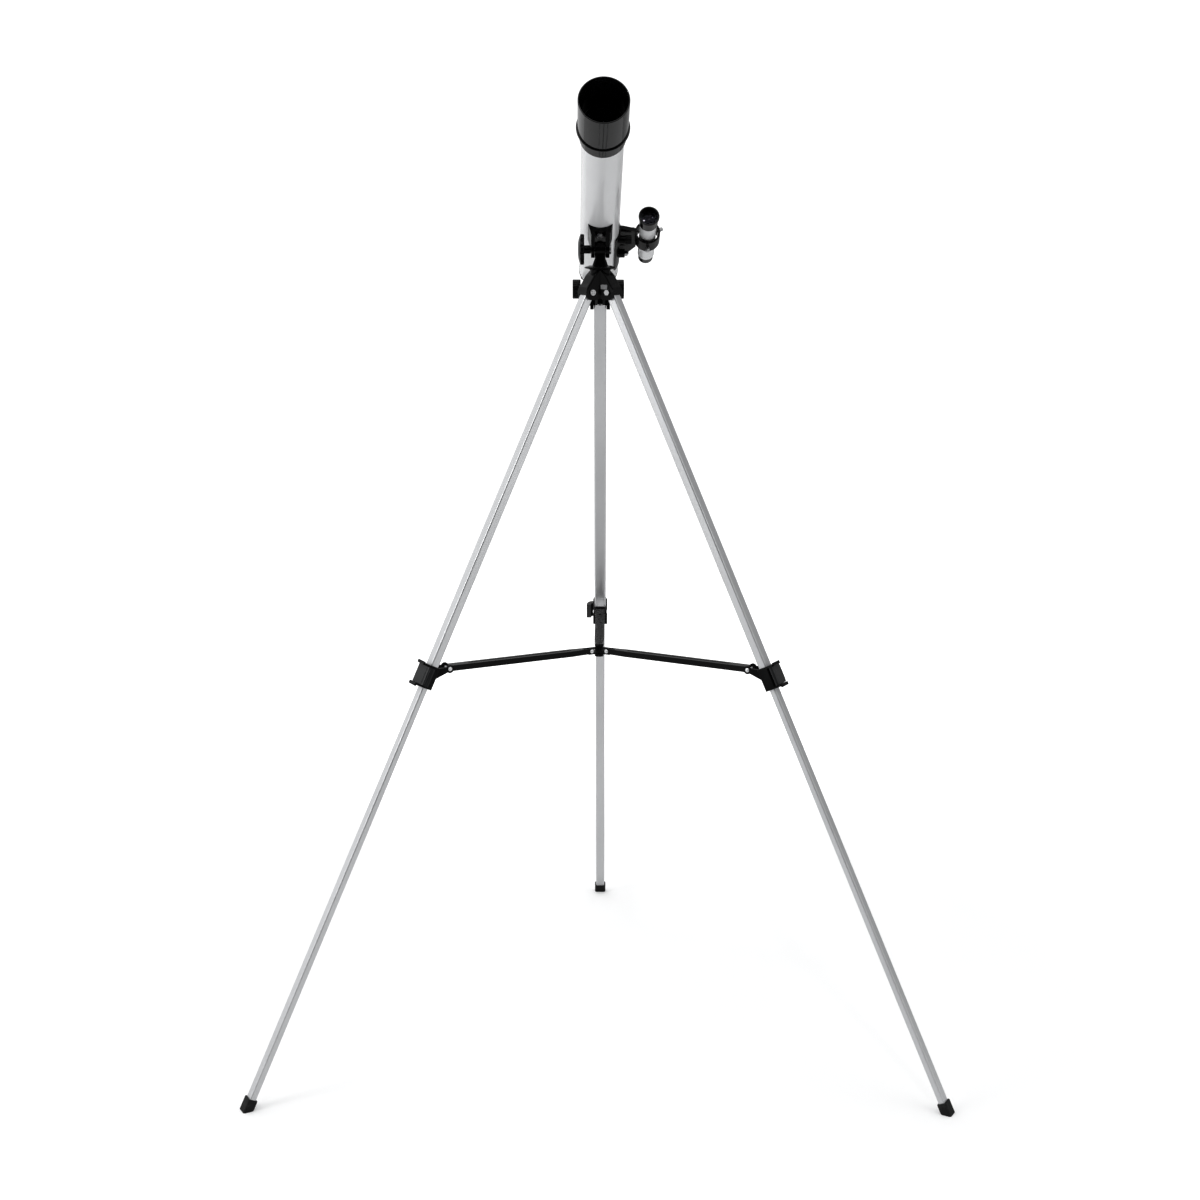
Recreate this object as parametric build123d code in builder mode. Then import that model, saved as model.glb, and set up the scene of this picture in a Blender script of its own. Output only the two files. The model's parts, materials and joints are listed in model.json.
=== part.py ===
from build123d import *
from math import atan2, cos, degrees, hypot, pi, radians, sin, tan
import os

# A small achromatic refractor on an alt-azimuth head and a three-legged aluminium tripod.
# Millimetres, +Z up, floor at Z = 0, the tube points to -Y. The origin is the middle of the footprint.

# ---------------------------------------------------------------- driving dimensions
AXIS_Y = -143.0            # the upright axis of the tripod stands this far in front of the origin
LEGS = {"left": 210.0, "right": 330.0, "back": 90.0}

# legs, each in a frame of its own: X across, Y outward, Z down the leg from its pivot
PIVOT_RADIUS = 20.0
PIVOT_HEIGHT = 1150.0
FOOT_RADIUS = 582.0
UPPER_WIDTH = 18.5
UPPER_DEPTH = 12.8
UPPER_WALL = 1.0
UPPER_TOP = -9.0
UPPER_END = 600.0
LOWER_WIDTH = 15.2
LOWER_DEPTH = 9.8
LOWER_WALL = 1.1
LOWER_TOP = 540.0
LEG_CORNER = 2.2

# leg locks
LOCK_MIDDLE = 605.0
LOCK_LENGTH = 34.0
LOCK_WIDTH = 23.4
LOCK_DEPTH = 17.0
LOCK_FLANGE = 3.0
FLANGE_REACH = 17.5
TIP_HEIGHT = 4.8
LEVER_THICK = 4.6
LEVER_BARREL = 3.4
LEVER_PIVOT_X = -8.4
LEVER_PIVOT_Y = 12.6

# spreader
ARM_PIVOT_Z = 583.0        # along the leg
ARM_PIVOT_IN = 24.0        # inward from the leg's centre line
HUB_PIVOT_RADIUS = 15.0
HUB_PIVOT_HEIGHT = 612.5
ARM_WIDTH = 15.0
ARM_HEIGHT = 8.4
ARM_WALL = 1.2
ARM_END_WIDTH = 9.6
ARM_TAPER = 34.0
ARM_CUT_BACK = 13.5        # the web of the channel stops this far short of the hub pivot
ARM_OVERHANG = 9.0         # of the channel past each pivot, before its ends are rounded
ARM_NECK = 8.0             # the narrow end begins this far short of the hub pivot
ARM_GROOVE = 3.6
ARM_GROOVE_DEEP = 0.5
RIVET_RADIUS = 1.9
RIVET_HEAD = 3.3
EAR_GAP = 7.8
EAR_THICK = 2.4
BLADE_THICK = 5.0
BLADE_REACH = 19.0

# rubber feet
SOLE_THICK = 9.0
FOOT_TOP = 1262.0
FOOT_WIDTH = 19.5
FOOT_DEPTH = 14.8

# crown of the tripod, heights above the leg pivots
CROWN_TOP = 32.0
CROWN_BOTTOM = -9.0
CROWN_ARM_WIDTH = 26.4
CROWN_SLOT_WIDTH = 19.3
LEG_BOLT_RADIUS = 2.5
PLATE_RADIUS = 14.6        # of the blank plate, from the upright axis
PLATE_HEIGHT = 7.8
LEG_BOLT_HEAD = 4.2
LEG_NUT = 4.4
BACK_EAR_SPAN = 29.0       # over the two long ears beside the back leg
BACK_EAR_TOP = -7.0
BACK_EAR_END = -26.0
BACK_EAR_INNER = 9.4       # from the upright axis
BACK_EAR_OUTER = 30.0
BACK_WEB_END = -19.5       # of the wall that joins the ears in front of the leg
BACK_WEB_THICK = 2.4

# alt-azimuth head
TURN = 1.2                 # the head is turned this far about the upright axis
ELEVATION = 26.6           # of the optical axis
ALTITUDE_HEIGHT = 1211.0   # of the altitude axis
TUBE_OFFSET = 51.0         # from the altitude axis to the optical axis
DISC_RADIUS = 23.0
EAR_RADIUS = 12.0
CRADLE_HALF = 17.9
SADDLE_HALF = 26.0
SADDLE_WEB = 15.8
SADDLE_BOLTS = (-15.0, 15.0)
DISC_THICK = 5.6
DISC_FLAT = 16.0           # radius of the flat middle, which thins out to the rim
DISC_RIM = 1.8
BARREL_RADIUS = 11.0
BARREL_WIDTH = 15.6
NECK_WIDTH = BARREL_WIDTH - 0.4
NECK_DEPTH = 18.0
NECK_TOP = -12.6           # the tapered part ends here, below the altitude axis
AZIMUTH_BOLT_GRIP = 11.0   # of the azimuth bolt in the neck
WASHER_RADIUS = 8.2
WASHER_THICK = 1.6
EAR_INSIDE = 8.1
EAR_OUTSIDE = 13.3
ALTITUDE_BOLT = 4.0
KNOB_RADIUS = 22.2
KNOB_INNER = 23.4          # distance of the knob's inner face from the middle
KNOB_THICK = 9.0
KNOB_STEM = 6.0
KNOB_SCALLOPS = 14
SADDLE_BOLT = 2.5

# optical tube, along the optical axis from the point above the altitude axis
TUBE_RADIUS = 29.0
TUBE_WALL = 1.0
TUBE_REAR = -176.0
TUBE_FRONT = 259.0
SHIELD_RADIUS = 34.0
SHIELD_WALL = 1.6
SHIELD_REAR = 262.0
MOUTH = 334.0
FLANGE_RADIUS = 36.0
SLEEVE_RADIUS = 31.6
SLEEVE_REAR = 238.0
OBJECTIVE_RADIUS = 26.0
OBJECTIVE_SEAT = 262.4
FLINT_EDGE = 3.0
CROWN_GLASS_EDGE = 3.6
SEAT_LIP = 1.8             # the seat and the ring overlap the lenses by this much

# focuser
FOCUSER_REAR = -226.0
DRAW_RADIUS = 17.2
DRAW_BORE = 15.9
DRAW_FRONT = -118.0
DRAW_REAR = -262.0
PINION_Z = -196.0
PINION_Y = -25.6
GEAR_MODULE = 1.0
PINION_TEETH = 10
RACK_FRONT = -150.0
RACK_REAR = -249.5
RACK_HALF = 3.5
BACKLASH = 0.5
PRESSURE_ANGLE = radians(20.0)
SHAFT_RADIUS = 2.0
SET_SCREW_RADIUS = 1.6
FOCUSER_SCREW_Z = -164.0
FOCUSER_SCREW_ANGLES = (-131.0, -49.0, 90.0)
FOCUSER_SCREW = 1.5
FOCUSER_OUTSIDE = 4.4      # wall of the focuser's rear end and of the collar on the drawtube
REAR_RIM = 30.2            # the focuser's flange stands a little proud of the tube
KNOB_SPAN = 80.0
FOCUS_KNOB_RADIUS = 14.8
FOCUS_KNOB_WIDTH = 12.4
FOCUS_KNOB_RIBS = 30
THUMB_RADIUS = 4.6         # heads of the two screws that hold the diagonal and the eyepiece
THUMB_LENGTH = 7.0
THUMB_FLUTES = 18

# diagonal and eyepiece
DIAGONAL_Z = -284.0
DIAGONAL_HALF = 18.5
EYE_SOCKET_TOP = 43.0      # above the optical axis
EYE_BARREL_RADIUS = 15.85
EYE_TOP = 84.0
SOCKET_FLOOR = 20.5
LIGHT_RADIUS = 14.2
BACK_CUT = 11.3

# finder, beside the tube
FINDER_X = 71.5
FINDER_MOUTH = 5.0
FINDER_RADIUS = 12.5
FINDER_REAR = -133.0
RING_FRONT = -48.0
RING_REAR = -74.0
RING_RADIUS = 18.7
KNOB_STUD = -56.0
NUT_STUD = -102.0
STUD_HEIGHT = -9.0
STUD_RADIUS = 2.0
STUD_START = 23.2
PAD_TOP = 38.6             # face under the nuts, from the optical axis
PAD_RADIUS = 6.4
CELL_REAR = -18.0
RING_BORE = 15.9
RING_MIDDLE = -61.0
FINDER_SCREW_ANGLES = (28.0, 152.0, 270.0)
WEB_HIGH = 7.0
WEB_THICK = 6.0
BRACKET_FRONT = -38.0
BRACKET_REAR = -140.0
BRACKET_WRAP = 39.0        # degrees round the tube, up and down from level
BRACKET_FOOT = 2.6

GAP = 0.3                  # between curved faces that move past each other
FIT = 0.05                 # radial, between a pin and its bore
THREAD_CLEAR = 0.2         # radial, round a set screw that turns


# ---------------------------------------------------------------- frames
def plan(frame, z):
    """Sketch plane square to the frame's Z axis: its X and Y are the frame's."""
    return frame.offset(z)


def side(frame, y=0.0):
    """Sketch plane along the frame's Z axis: its X is the frame's X, its Y the frame's Z."""
    place = frame.from_local_coords((0, y, 0))
    return Plane(origin=place, x_dir=frame.x_dir, z_dir=-frame.y_dir)


def cross(frame, x=0.0):
    """Sketch plane square to the frame's X axis: its X is the frame's Y, its Y the frame's Z."""
    place = frame.from_local_coords((x, 0, 0))
    return Plane(origin=place, x_dir=frame.y_dir, z_dir=frame.x_dir)


def moved(frame, x, y, z):
    """The same frame with its origin moved along its own axes."""
    return Plane(origin=frame.from_local_coords((x, y, z)), x_dir=frame.x_dir, z_dir=frame.z_dir)


def centre_line(frame):
    return Axis(frame.origin, frame.z_dir)


def spoke(frame, turned, z):
    """At this distance along Z, a frame whose own Z points outward at an angle from X."""
    outward = frame.x_dir * cos(radians(turned)) + frame.y_dir * sin(radians(turned))
    return Plane(origin=frame.from_local_coords((0, 0, z)), x_dir=frame.z_dir, z_dir=outward)


def outline(plane, *points):
    """A closed polygon on a plane."""
    with BuildSketch(plane) as polygon:
        with BuildLine():
            Polyline(*points, close=True)
        make_face()
    return polygon.sketch


def rounded_tube(plane, width, depth, wall, corner):
    """The ring section of a rectangular tube with rounded corners."""
    with BuildSketch(plane) as section:
        RectangleRounded(width, depth, corner)
        RectangleRounded(width - 2 * wall, depth - 2 * wall, corner - wall, mode=Mode.SUBTRACT)
    return section.sketch


LEG_ANGLE = degrees(atan2(FOOT_RADIUS - PIVOT_RADIUS, PIVOT_HEIGHT))
LEG_LENGTH = hypot(FOOT_RADIUS - PIVOT_RADIUS, PIVOT_HEIGHT)

TRIPOD = Plane(origin=(0, AXIS_Y, PIVOT_HEIGHT))
HEAD = Plane(
    origin=(0, AXIS_Y, ALTITUDE_HEIGHT),
    x_dir=(cos(radians(TURN)), sin(radians(TURN)), 0),
    z_dir=(0, 0, 1),
)
AIM = HEAD.z_dir * sin(radians(ELEVATION)) - HEAD.y_dir * cos(radians(ELEVATION))
SADDLE = Plane(origin=HEAD.origin, x_dir=HEAD.x_dir, z_dir=AIM)
TUBE = moved(SADDLE, 0, TUBE_OFFSET, 0)
FINDER = moved(TUBE, FINDER_X, 0, 0)


def radial_frame(azimuth, height):
    """At the tripod's axis: X across the leg's plane, Y outward, Z up."""
    turned = radians(azimuth)
    origin = (0, AXIS_Y, height)
    return Plane(origin=origin, x_dir=(sin(turned), -cos(turned), 0), z_dir=(0, 0, 1))


def leg_frame(azimuth):
    """At the leg's pivot: X across the leg, Y outward, Z down the leg."""
    turned = radians(azimuth)
    lean = radians(LEG_ANGLE)
    origin = (PIVOT_RADIUS * cos(turned), AXIS_Y + PIVOT_RADIUS * sin(turned), PIVOT_HEIGHT)
    down = (sin(lean) * cos(turned), sin(lean) * sin(turned), -cos(lean))
    return Plane(origin=origin, x_dir=(-sin(turned), cos(turned), 0), z_dir=down)


def arm_frame(azimuth):
    """At an arm's outer rivet: X across the arm, Y up, Z along the arm towards the hub."""
    leg = leg_frame(azimuth)
    rivet = leg.from_local_coords((0, -ARM_PIVOT_IN, ARM_PIVOT_Z))
    inner = radial_frame(azimuth, HUB_PIVOT_HEIGHT).from_local_coords((0, HUB_PIVOT_RADIUS, 0))
    return Plane(origin=rivet, x_dir=-leg.x_dir, z_dir=inner - rivet)


def arm_outline(plane, reach, wall):
    """The spreader arm from above, narrower towards the hub, drawn this far inside its outer faces."""
    wide = ARM_WIDTH / 2 - wall
    narrow = ARM_END_WIDTH / 2 - wall
    edge = ((wide, -ARM_OVERHANG), (wide, reach - ARM_TAPER), (narrow, reach - ARM_NECK),
            (narrow, reach + ARM_OVERHANG))
    mirrored = [(-x, z) for x, z in reversed(edge)]
    return outline(plane, *edge, *mirrored)


def rivet_profile(plane, half_grip, side_sign):
    """Half section of a rivet's shank and domed head, turned about its own axis."""
    grip = side_sign * half_grip
    dome = side_sign * (half_grip + 1.5)
    with BuildSketch(plane) as section:
        with BuildLine():
            Line((0, 0), (0, dome))
            ThreePointArc((0, dome), (RIVET_HEAD * 0.72, side_sign * (half_grip + 1.0)), (RIVET_HEAD, grip))
            Polyline((RIVET_HEAD, grip), (RIVET_RADIUS, grip), (RIVET_RADIUS, 0), (0, 0))
        make_face()
    return section.sketch


os.makedirs("parts", exist_ok=True)


# ---------------------------------------------------------------- legs
for name, azimuth in LEGS.items():
    LEG = leg_frame(azimuth)

    # upper leg: a rectangular aluminium tube, drilled for the pivot bolt
    with BuildPart() as upper_leg:
        extrude(rounded_tube(plan(LEG, UPPER_TOP), UPPER_WIDTH, UPPER_DEPTH, UPPER_WALL, LEG_CORNER),
                amount=UPPER_END - UPPER_TOP)
        with BuildSketch(cross(LEG)):
            Circle(LEG_BOLT_RADIUS + FIT)
        extrude(amount=UPPER_WIDTH, both=True, mode=Mode.SUBTRACT)
    upper_leg.part.label = f"upper_leg_{name}"
    export_step(upper_leg.part, f"parts/upper_leg_{name}.step")

    # lower leg: a smaller tube that slides inside the upper one
    with BuildPart() as lower_leg:
        extrude(rounded_tube(plan(LEG, LOWER_TOP), LOWER_WIDTH, LOWER_DEPTH, LOWER_WALL, LEG_CORNER),
                amount=LEG_LENGTH - SOLE_THICK - LOWER_TOP)
    lower_leg.part.label = f"lower_leg_{name}"
    export_step(lower_leg.part, f"parts/lower_leg_{name}.step")

    # rubber foot: a boot over the leg's end with a level sole
    with BuildPart() as foot:
        with BuildSketch(plan(LEG, FOOT_TOP)):
            RectangleRounded(FOOT_WIDTH, FOOT_DEPTH, 3.4)
        extrude(amount=LEG_LENGTH - FOOT_TOP + FOOT_DEPTH)
        fillet(foot.faces().sort_by(centre_line(LEG))[0].edges(), 0.9)
        with BuildSketch(plan(LEG, FOOT_TOP)):
            RectangleRounded(LOWER_WIDTH, LOWER_DEPTH, LEG_CORNER)
        extrude(amount=LEG_LENGTH - SOLE_THICK - FOOT_TOP, mode=Mode.SUBTRACT)
        split(bisect_by=Plane(origin=(0, 0, 0), z_dir=(0, 0, 1)), keep=Keep.TOP)
        chamfer(foot.edges().filter_by(Plane.XY).group_by(Axis.Z)[0], 0.8)
    foot.part.label = f"foot_{name}"
    export_step(foot.part, f"parts/foot_{name}.step")

    # lock housing: a collar round the joint of the two tubes, two flanges and the arm's clevis
    LOCK = moved(LEG, 0, 0, LOCK_MIDDLE)
    half_lock = LOCK_LENGTH / 2
    with BuildPart() as lock_housing:
        with BuildSketch(plan(LOCK, -half_lock)):
            RectangleRounded(LOCK_WIDTH, LOCK_DEPTH, 1.6)
        extrude(amount=LOCK_LENGTH)
        for foot_of_flange in (-half_lock, half_lock - LOCK_FLANGE):
            with BuildSketch(plan(LOCK, foot_of_flange)):
                with Locations((0, FLANGE_REACH / 2)):
                    Rectangle(LOCK_WIDTH, FLANGE_REACH)
            extrude(amount=LOCK_FLANGE)
        for tip in (-half_lock + LOCK_FLANGE - TIP_HEIGHT / 2, half_lock - LOCK_FLANGE + TIP_HEIGHT / 2):
            with BuildSketch(cross(LOCK)):
                with Locations((FLANGE_REACH + 1.0, tip)):
                    RectangleRounded(2.4, TIP_HEIGHT, 0.8)
            extrude(amount=LOCK_WIDTH / 2 - 1.5, both=True)
        clevis = outline(cross(LOCK), (-LOCK_DEPTH / 2 + 1, -half_lock), (-LOCK_DEPTH / 2 + 1, 0),
                         (-ARM_PIVOT_IN + 1, ARM_PIVOT_Z - LOCK_MIDDLE + 5.6),
                         (-ARM_PIVOT_IN - 3, ARM_PIVOT_Z - LOCK_MIDDLE - 5.0))
        extrude(clevis, amount=EAR_GAP + EAR_THICK, both=True)
        with BuildSketch(cross(LOCK)):
            with Locations((-ARM_PIVOT_IN, ARM_PIVOT_Z - LOCK_MIDDLE)):
                Circle(6.0)
        extrude(amount=EAR_GAP + EAR_THICK, both=True)
        between_ears = outline(cross(LOCK), (-LOCK_DEPTH / 2, -60), (-LOCK_DEPTH / 2, 12), (-60, 12),
                               (-60, -60))
        extrude(between_ears, amount=EAR_GAP, both=True, mode=Mode.SUBTRACT)
        with BuildSketch(cross(LOCK)):
            with Locations((-ARM_PIVOT_IN, ARM_PIVOT_Z - LOCK_MIDDLE)):
                Circle(RIVET_RADIUS + FIT)
        extrude(amount=LOCK_WIDTH, both=True, mode=Mode.SUBTRACT)
        with BuildSketch(plan(LEG, LOCK_MIDDLE - LOCK_LENGTH)):
            RectangleRounded(UPPER_WIDTH, UPPER_DEPTH, LEG_CORNER)
        extrude(amount=UPPER_END - LOCK_MIDDLE + LOCK_LENGTH, mode=Mode.SUBTRACT)
        with BuildSketch(plan(LOCK, -half_lock)):
            RectangleRounded(LOWER_WIDTH + 0.4, LOWER_DEPTH + 0.4, LEG_CORNER + 0.2)
        extrude(amount=2 * LOCK_LENGTH, mode=Mode.SUBTRACT)
        with BuildSketch(plan(LOCK, -half_lock)):
            with Locations((LEVER_PIVOT_X, LEVER_PIVOT_Y)):
                Circle(RIVET_RADIUS - 0.3)
        extrude(amount=LOCK_LENGTH, mode=Mode.SUBTRACT)
    lock_housing.part.label = f"lock_housing_{name}"
    export_step(lock_housing.part, f"parts/lock_housing_{name}.step")

    # clamp lever: a plate across the outer face, hinged along the leg, with a finger tab
    lever_half = half_lock - LOCK_FLANGE - GAP
    with BuildPart() as lock_lever:
        with BuildSketch(plan(LOCK, -lever_half)):
            with BuildLine():
                Line((LEVER_PIVOT_X, 9.1), (12.0, 9.1))
                ThreePointArc((12.0, 9.1), (14.6, 7.6), (15.4, 4.6))
                Line((15.4, 4.6), (22.6, 4.6))
                ThreePointArc((22.6, 4.6), (21.2, 10.4), (14.0, 14.6))
                Line((14.0, 14.6), (LEVER_PIVOT_X, LEVER_PIVOT_Y + LEVER_BARREL))
                Line((LEVER_PIVOT_X, LEVER_PIVOT_Y + LEVER_BARREL), (LEVER_PIVOT_X, 9.1))
            make_face()
            with Locations((LEVER_PIVOT_X, LEVER_PIVOT_Y)):
                Circle(LEVER_BARREL)
        extrude(amount=2 * lever_half)
        for end in (-half_lock + 0.4, half_lock - 0.4):
            with BuildSketch(plan(LOCK, 0)):
                with Locations((LEVER_PIVOT_X, LEVER_PIVOT_Y)):
                    Circle(RIVET_RADIUS - 0.3 - FIT)
            extrude(amount=end)
    lock_lever.part.label = f"lock_lever_{name}"
    export_step(lock_lever.part, f"parts/lock_lever_{name}.step")

    # spreader arm: a pressed channel, open below, with ears at both ends and a groove on top
    ARM = arm_frame(azimuth)
    hub_pivot = radial_frame(azimuth, HUB_PIVOT_HEIGHT).from_local_coords((0, HUB_PIVOT_RADIUS, 0))
    reach = (hub_pivot - ARM.origin).length
    with BuildPart() as spreader_arm:
        with BuildSketch(cross(ARM)):
            with Locations((0, reach / 2)):
                SlotCenterToCenter(reach, ARM_HEIGHT, rotation=90)
        extrude(amount=ARM_WIDTH, both=True)
        extrude(arm_outline(side(ARM), reach, 0), amount=ARM_HEIGHT, both=True, mode=Mode.INTERSECT)
        extrude(arm_outline(side(ARM, ARM_HEIGHT / 2 - ARM_WALL), reach, ARM_WALL), amount=2 * ARM_HEIGHT,
                mode=Mode.SUBTRACT)
        with BuildSketch(side(ARM)):
            with Locations((0, reach - ARM_CUT_BACK + 20)):
                Rectangle(ARM_END_WIDTH - 2 * ARM_WALL, 40)
            with Locations((0, -8)):
                Rectangle(ARM_WIDTH - 2 * ARM_WALL, 20)
        extrude(amount=ARM_HEIGHT, both=True, mode=Mode.SUBTRACT)
        with BuildSketch(side(ARM, ARM_HEIGHT / 2)):
            with Locations((0, reach / 2)):
                SlotOverall(reach - 2 * ARM_TAPER, ARM_GROOVE, rotation=90)
        extrude(amount=ARM_GROOVE_DEEP, both=True, mode=Mode.SUBTRACT)
        for pivot in (0, reach):
            with BuildSketch(cross(ARM)):
                with Locations((0, pivot)):
                    Circle(RIVET_RADIUS)
            extrude(amount=ARM_WIDTH, both=True, mode=Mode.SUBTRACT)
    spreader_arm.part.label = f"spreader_arm_{name}"
    export_step(spreader_arm.part, f"parts/spreader_arm_{name}.step")

    # the arm's two rivets, closed on the clevis ears at one end and on the arm at the other
    with BuildPart() as arm_rivets:
        for pivot, grip in ((0, EAR_GAP + EAR_THICK + 0.1), (reach, ARM_END_WIDTH / 2)):
            RIVET = moved(ARM, 0, 0, pivot)
            across = Plane(origin=RIVET.origin, x_dir=RIVET.y_dir, z_dir=RIVET.z_dir)
            for side_sign in (-1, 1):
                revolve(rivet_profile(across, grip, side_sign), axis=Axis(RIVET.origin, RIVET.x_dir))
    arm_rivets.part.label = f"arm_rivets_{name}"
    export_step(arm_rivets.part, f"parts/arm_rivets_{name}.step")


# ---------------------------------------------------------------- spreader hub
HUB = Plane(origin=(0, AXIS_Y, HUB_PIVOT_HEIGHT))
with BuildPart() as spreader_hub:
    with BuildSketch(plan(HUB, -9.5)):
        Circle(3.6)
    extrude(amount=18.0)
    for low, thick in ((-9.5, 3.6), (5.8, 4.2)):
        with BuildSketch(plan(HUB, low)):
            Circle(6.8)
        extrude(amount=thick)
    fillet(spreader_hub.edges().filter_by(GeomType.CIRCLE).sort_by(Axis.Z)[-1], 3.2)
    for azimuth in LEGS.values():
        SPOKE = radial_frame(azimuth, HUB_PIVOT_HEIGHT)
        with BuildSketch(cross(SPOKE)):
            with Locations((BLADE_REACH / 2, -0.4)):
                Rectangle(BLADE_REACH, 10.4)
        extrude(amount=BLADE_THICK / 2, both=True)
        with BuildSketch(cross(SPOKE)):
            with Locations((HUB_PIVOT_RADIUS - 2.7, -0.7)):
                RectangleRounded(10.4, 6.4, 2.0)
        extrude(amount=BLADE_THICK, both=True, mode=Mode.SUBTRACT)
spreader_hub.part.label = "spreader_hub"
export_step(spreader_hub.part, "parts/spreader_hub.step")


# ---------------------------------------------------------------- crown
ARM_PROFILE = ((0, CROWN_TOP), (9.5, CROWN_TOP), (17.5, 24.0), (24.5, 12.5), (28.5, 7.5), (30.4, 0.5),
               (29.5, -6.5), (25.0, -10.5), (15.0, -11.0), (9.0, CROWN_BOTTOM), (0, CROWN_BOTTOM))
LEG_SLOT = ((8.6, -30), (8.6, 13.0), (23.0, 13.0), (25.6, 9.0), (29.0, -1.0), (44.0, -30))
BACK_EAR = ((BACK_EAR_INNER, BACK_EAR_TOP), (BACK_EAR_OUTER - 3, BACK_EAR_TOP),
            (BACK_EAR_OUTER, BACK_EAR_TOP - 4), (BACK_EAR_OUTER, BACK_EAR_END + 2),
            (BACK_EAR_OUTER - 2, BACK_EAR_END), (BACK_EAR_INNER + 1.5, BACK_EAR_END),
            (BACK_EAR_INNER, BACK_EAR_END + 1.5))
BACK_LEG_WAY = ((BACK_EAR_INNER - 0.5, BACK_EAR_TOP + 1), (60, BACK_EAR_TOP + 1), (60, -60),
                (BACK_EAR_INNER - 0.5, -60))
BACK_WEB = ((BACK_EAR_INNER, CROWN_BOTTOM + 0.6), (BACK_EAR_INNER + BACK_WEB_THICK, CROWN_BOTTOM + 0.6),
            (BACK_EAR_INNER + BACK_WEB_THICK, BACK_WEB_END), (BACK_EAR_INNER, BACK_WEB_END))


def crown_arm(azimuth):
    """One arm of the crown: a rounded block along the leg's plane."""
    spoke = radial_frame(azimuth, PIVOT_HEIGHT)
    with BuildPart() as arm:
        extrude(outline(cross(spoke), *ARM_PROFILE), amount=CROWN_ARM_WIDTH / 2, both=True)
        rims = arm.faces().filter_by(Axis(spoke.origin, spoke.x_dir)).edges()
        outer = rims.filter_by(lambda edge: spoke.to_local_coords(edge.center()).Y > 10)
        fillet(outer.filter_by(lambda edge: edge.center().Z > PIVOT_HEIGHT + 4), 2.2)
    return arm.part


with BuildPart() as crown:
    with BuildSketch(plan(TRIPOD, CROWN_BOTTOM)):
        Circle(15.0)
    extrude(amount=CROWN_TOP - CROWN_BOTTOM)
    for azimuth in LEGS.values():
        add(crown_arm(azimuth))
    for azimuth in LEGS.values():
        SPOKE = radial_frame(azimuth, PIVOT_HEIGHT)
        extrude(outline(cross(SPOKE), *LEG_SLOT), amount=CROWN_SLOT_WIDTH / 2, both=True, mode=Mode.SUBTRACT)
        with BuildSketch(cross(SPOKE)):
            with Locations((PIVOT_RADIUS, 0)):
                Circle(LEG_BOLT_RADIUS)
        extrude(amount=CROWN_ARM_WIDTH, both=True, mode=Mode.SUBTRACT)
    BACK = radial_frame(LEGS["back"], PIVOT_HEIGHT)
    extrude(outline(cross(BACK), *BACK_EAR), amount=BACK_EAR_SPAN / 2, both=True)
    extrude(outline(cross(BACK), *BACK_LEG_WAY), amount=CROWN_SLOT_WIDTH / 2, both=True, mode=Mode.SUBTRACT)
    extrude(outline(cross(BACK), *BACK_WEB), amount=BACK_EAR_SPAN / 2, both=True)
    with BuildSketch(plan(TRIPOD, CROWN_BOTTOM)):
        Circle(ALTITUDE_BOLT + FIT)
    extrude(amount=CROWN_TOP - CROWN_BOTTOM, mode=Mode.SUBTRACT)
crown.part.label = "crown"
export_step(crown.part, "parts/crown.step")

# the legs' pivot bolts: plain shank, round head on one side and a nut on the other
with BuildPart() as leg_bolts:
    for azimuth in LEGS.values():
        SPOKE = radial_frame(azimuth, PIVOT_HEIGHT)
        BOLT = moved(SPOKE, 0, PIVOT_RADIUS, 0)
        half_bolt = CROWN_ARM_WIDTH / 2
        with BuildSketch(cross(BOLT, -half_bolt)):
            Circle(LEG_BOLT_RADIUS)
        extrude(amount=2 * half_bolt)
        with BuildSketch(cross(BOLT, -half_bolt)):
            Circle(LEG_BOLT_HEAD)
        extrude(amount=-2.4)
        with BuildSketch(cross(BOLT, half_bolt)):
            RegularPolygon(LEG_NUT, 6)
        extrude(amount=3.0)
leg_bolts.part.label = "leg_bolts"
export_step(leg_bolts.part, "parts/leg_bolts.step")

# blank plate on the side of the crown's right arm
along = Vector(cos(radians(LEGS["right"])), sin(radians(LEGS["right"])), 0)
outward = Vector(along.Y, -along.X, 0)
plate_place = TRIPOD.origin + along * PLATE_RADIUS + outward * (CROWN_ARM_WIDTH / 2)
PLATE = Plane(origin=plate_place + Vector(0, 0, PLATE_HEIGHT), x_dir=along, z_dir=outward)
with BuildPart() as crown_plate:
    with BuildSketch(plan(PLATE, -0.5)):
        RectangleRounded(10.8, 6.8, 1.2)
    extrude(amount=1.4)
    add(crown.part, mode=Mode.SUBTRACT)
crown_plate.part.label = "crown_plate"
export_step(crown_plate.part, "parts/crown_plate.step")

# ---------------------------------------------------------------- alt-azimuth head
disc_low = PIVOT_HEIGHT + CROWN_TOP + 0.3 - ALTITUDE_HEIGHT
rim_low = disc_low + (DISC_THICK - DISC_RIM) / 2
neck_low = disc_low + DISC_THICK + 0.05
with BuildPart() as azimuth_disc:
    with BuildSketch(side(HEAD)):
        with BuildLine():
            Polyline((ALTITUDE_BOLT + FIT, disc_low), (DISC_FLAT, disc_low), (DISC_RADIUS - 1, rim_low))
            ThreePointArc((DISC_RADIUS - 1, rim_low), (DISC_RADIUS, rim_low + DISC_RIM / 2),
                          (DISC_RADIUS - 1, rim_low + DISC_RIM))
            Polyline((DISC_RADIUS - 1, rim_low + DISC_RIM), (DISC_FLAT, disc_low + DISC_THICK),
                     (ALTITUDE_BOLT + FIT, disc_low + DISC_THICK), (ALTITUDE_BOLT + FIT, disc_low))
        make_face()
    revolve(axis=centre_line(HEAD))
azimuth_disc.part.label = "azimuth_disc"
export_step(azimuth_disc.part, "parts/azimuth_disc.step")

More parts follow.
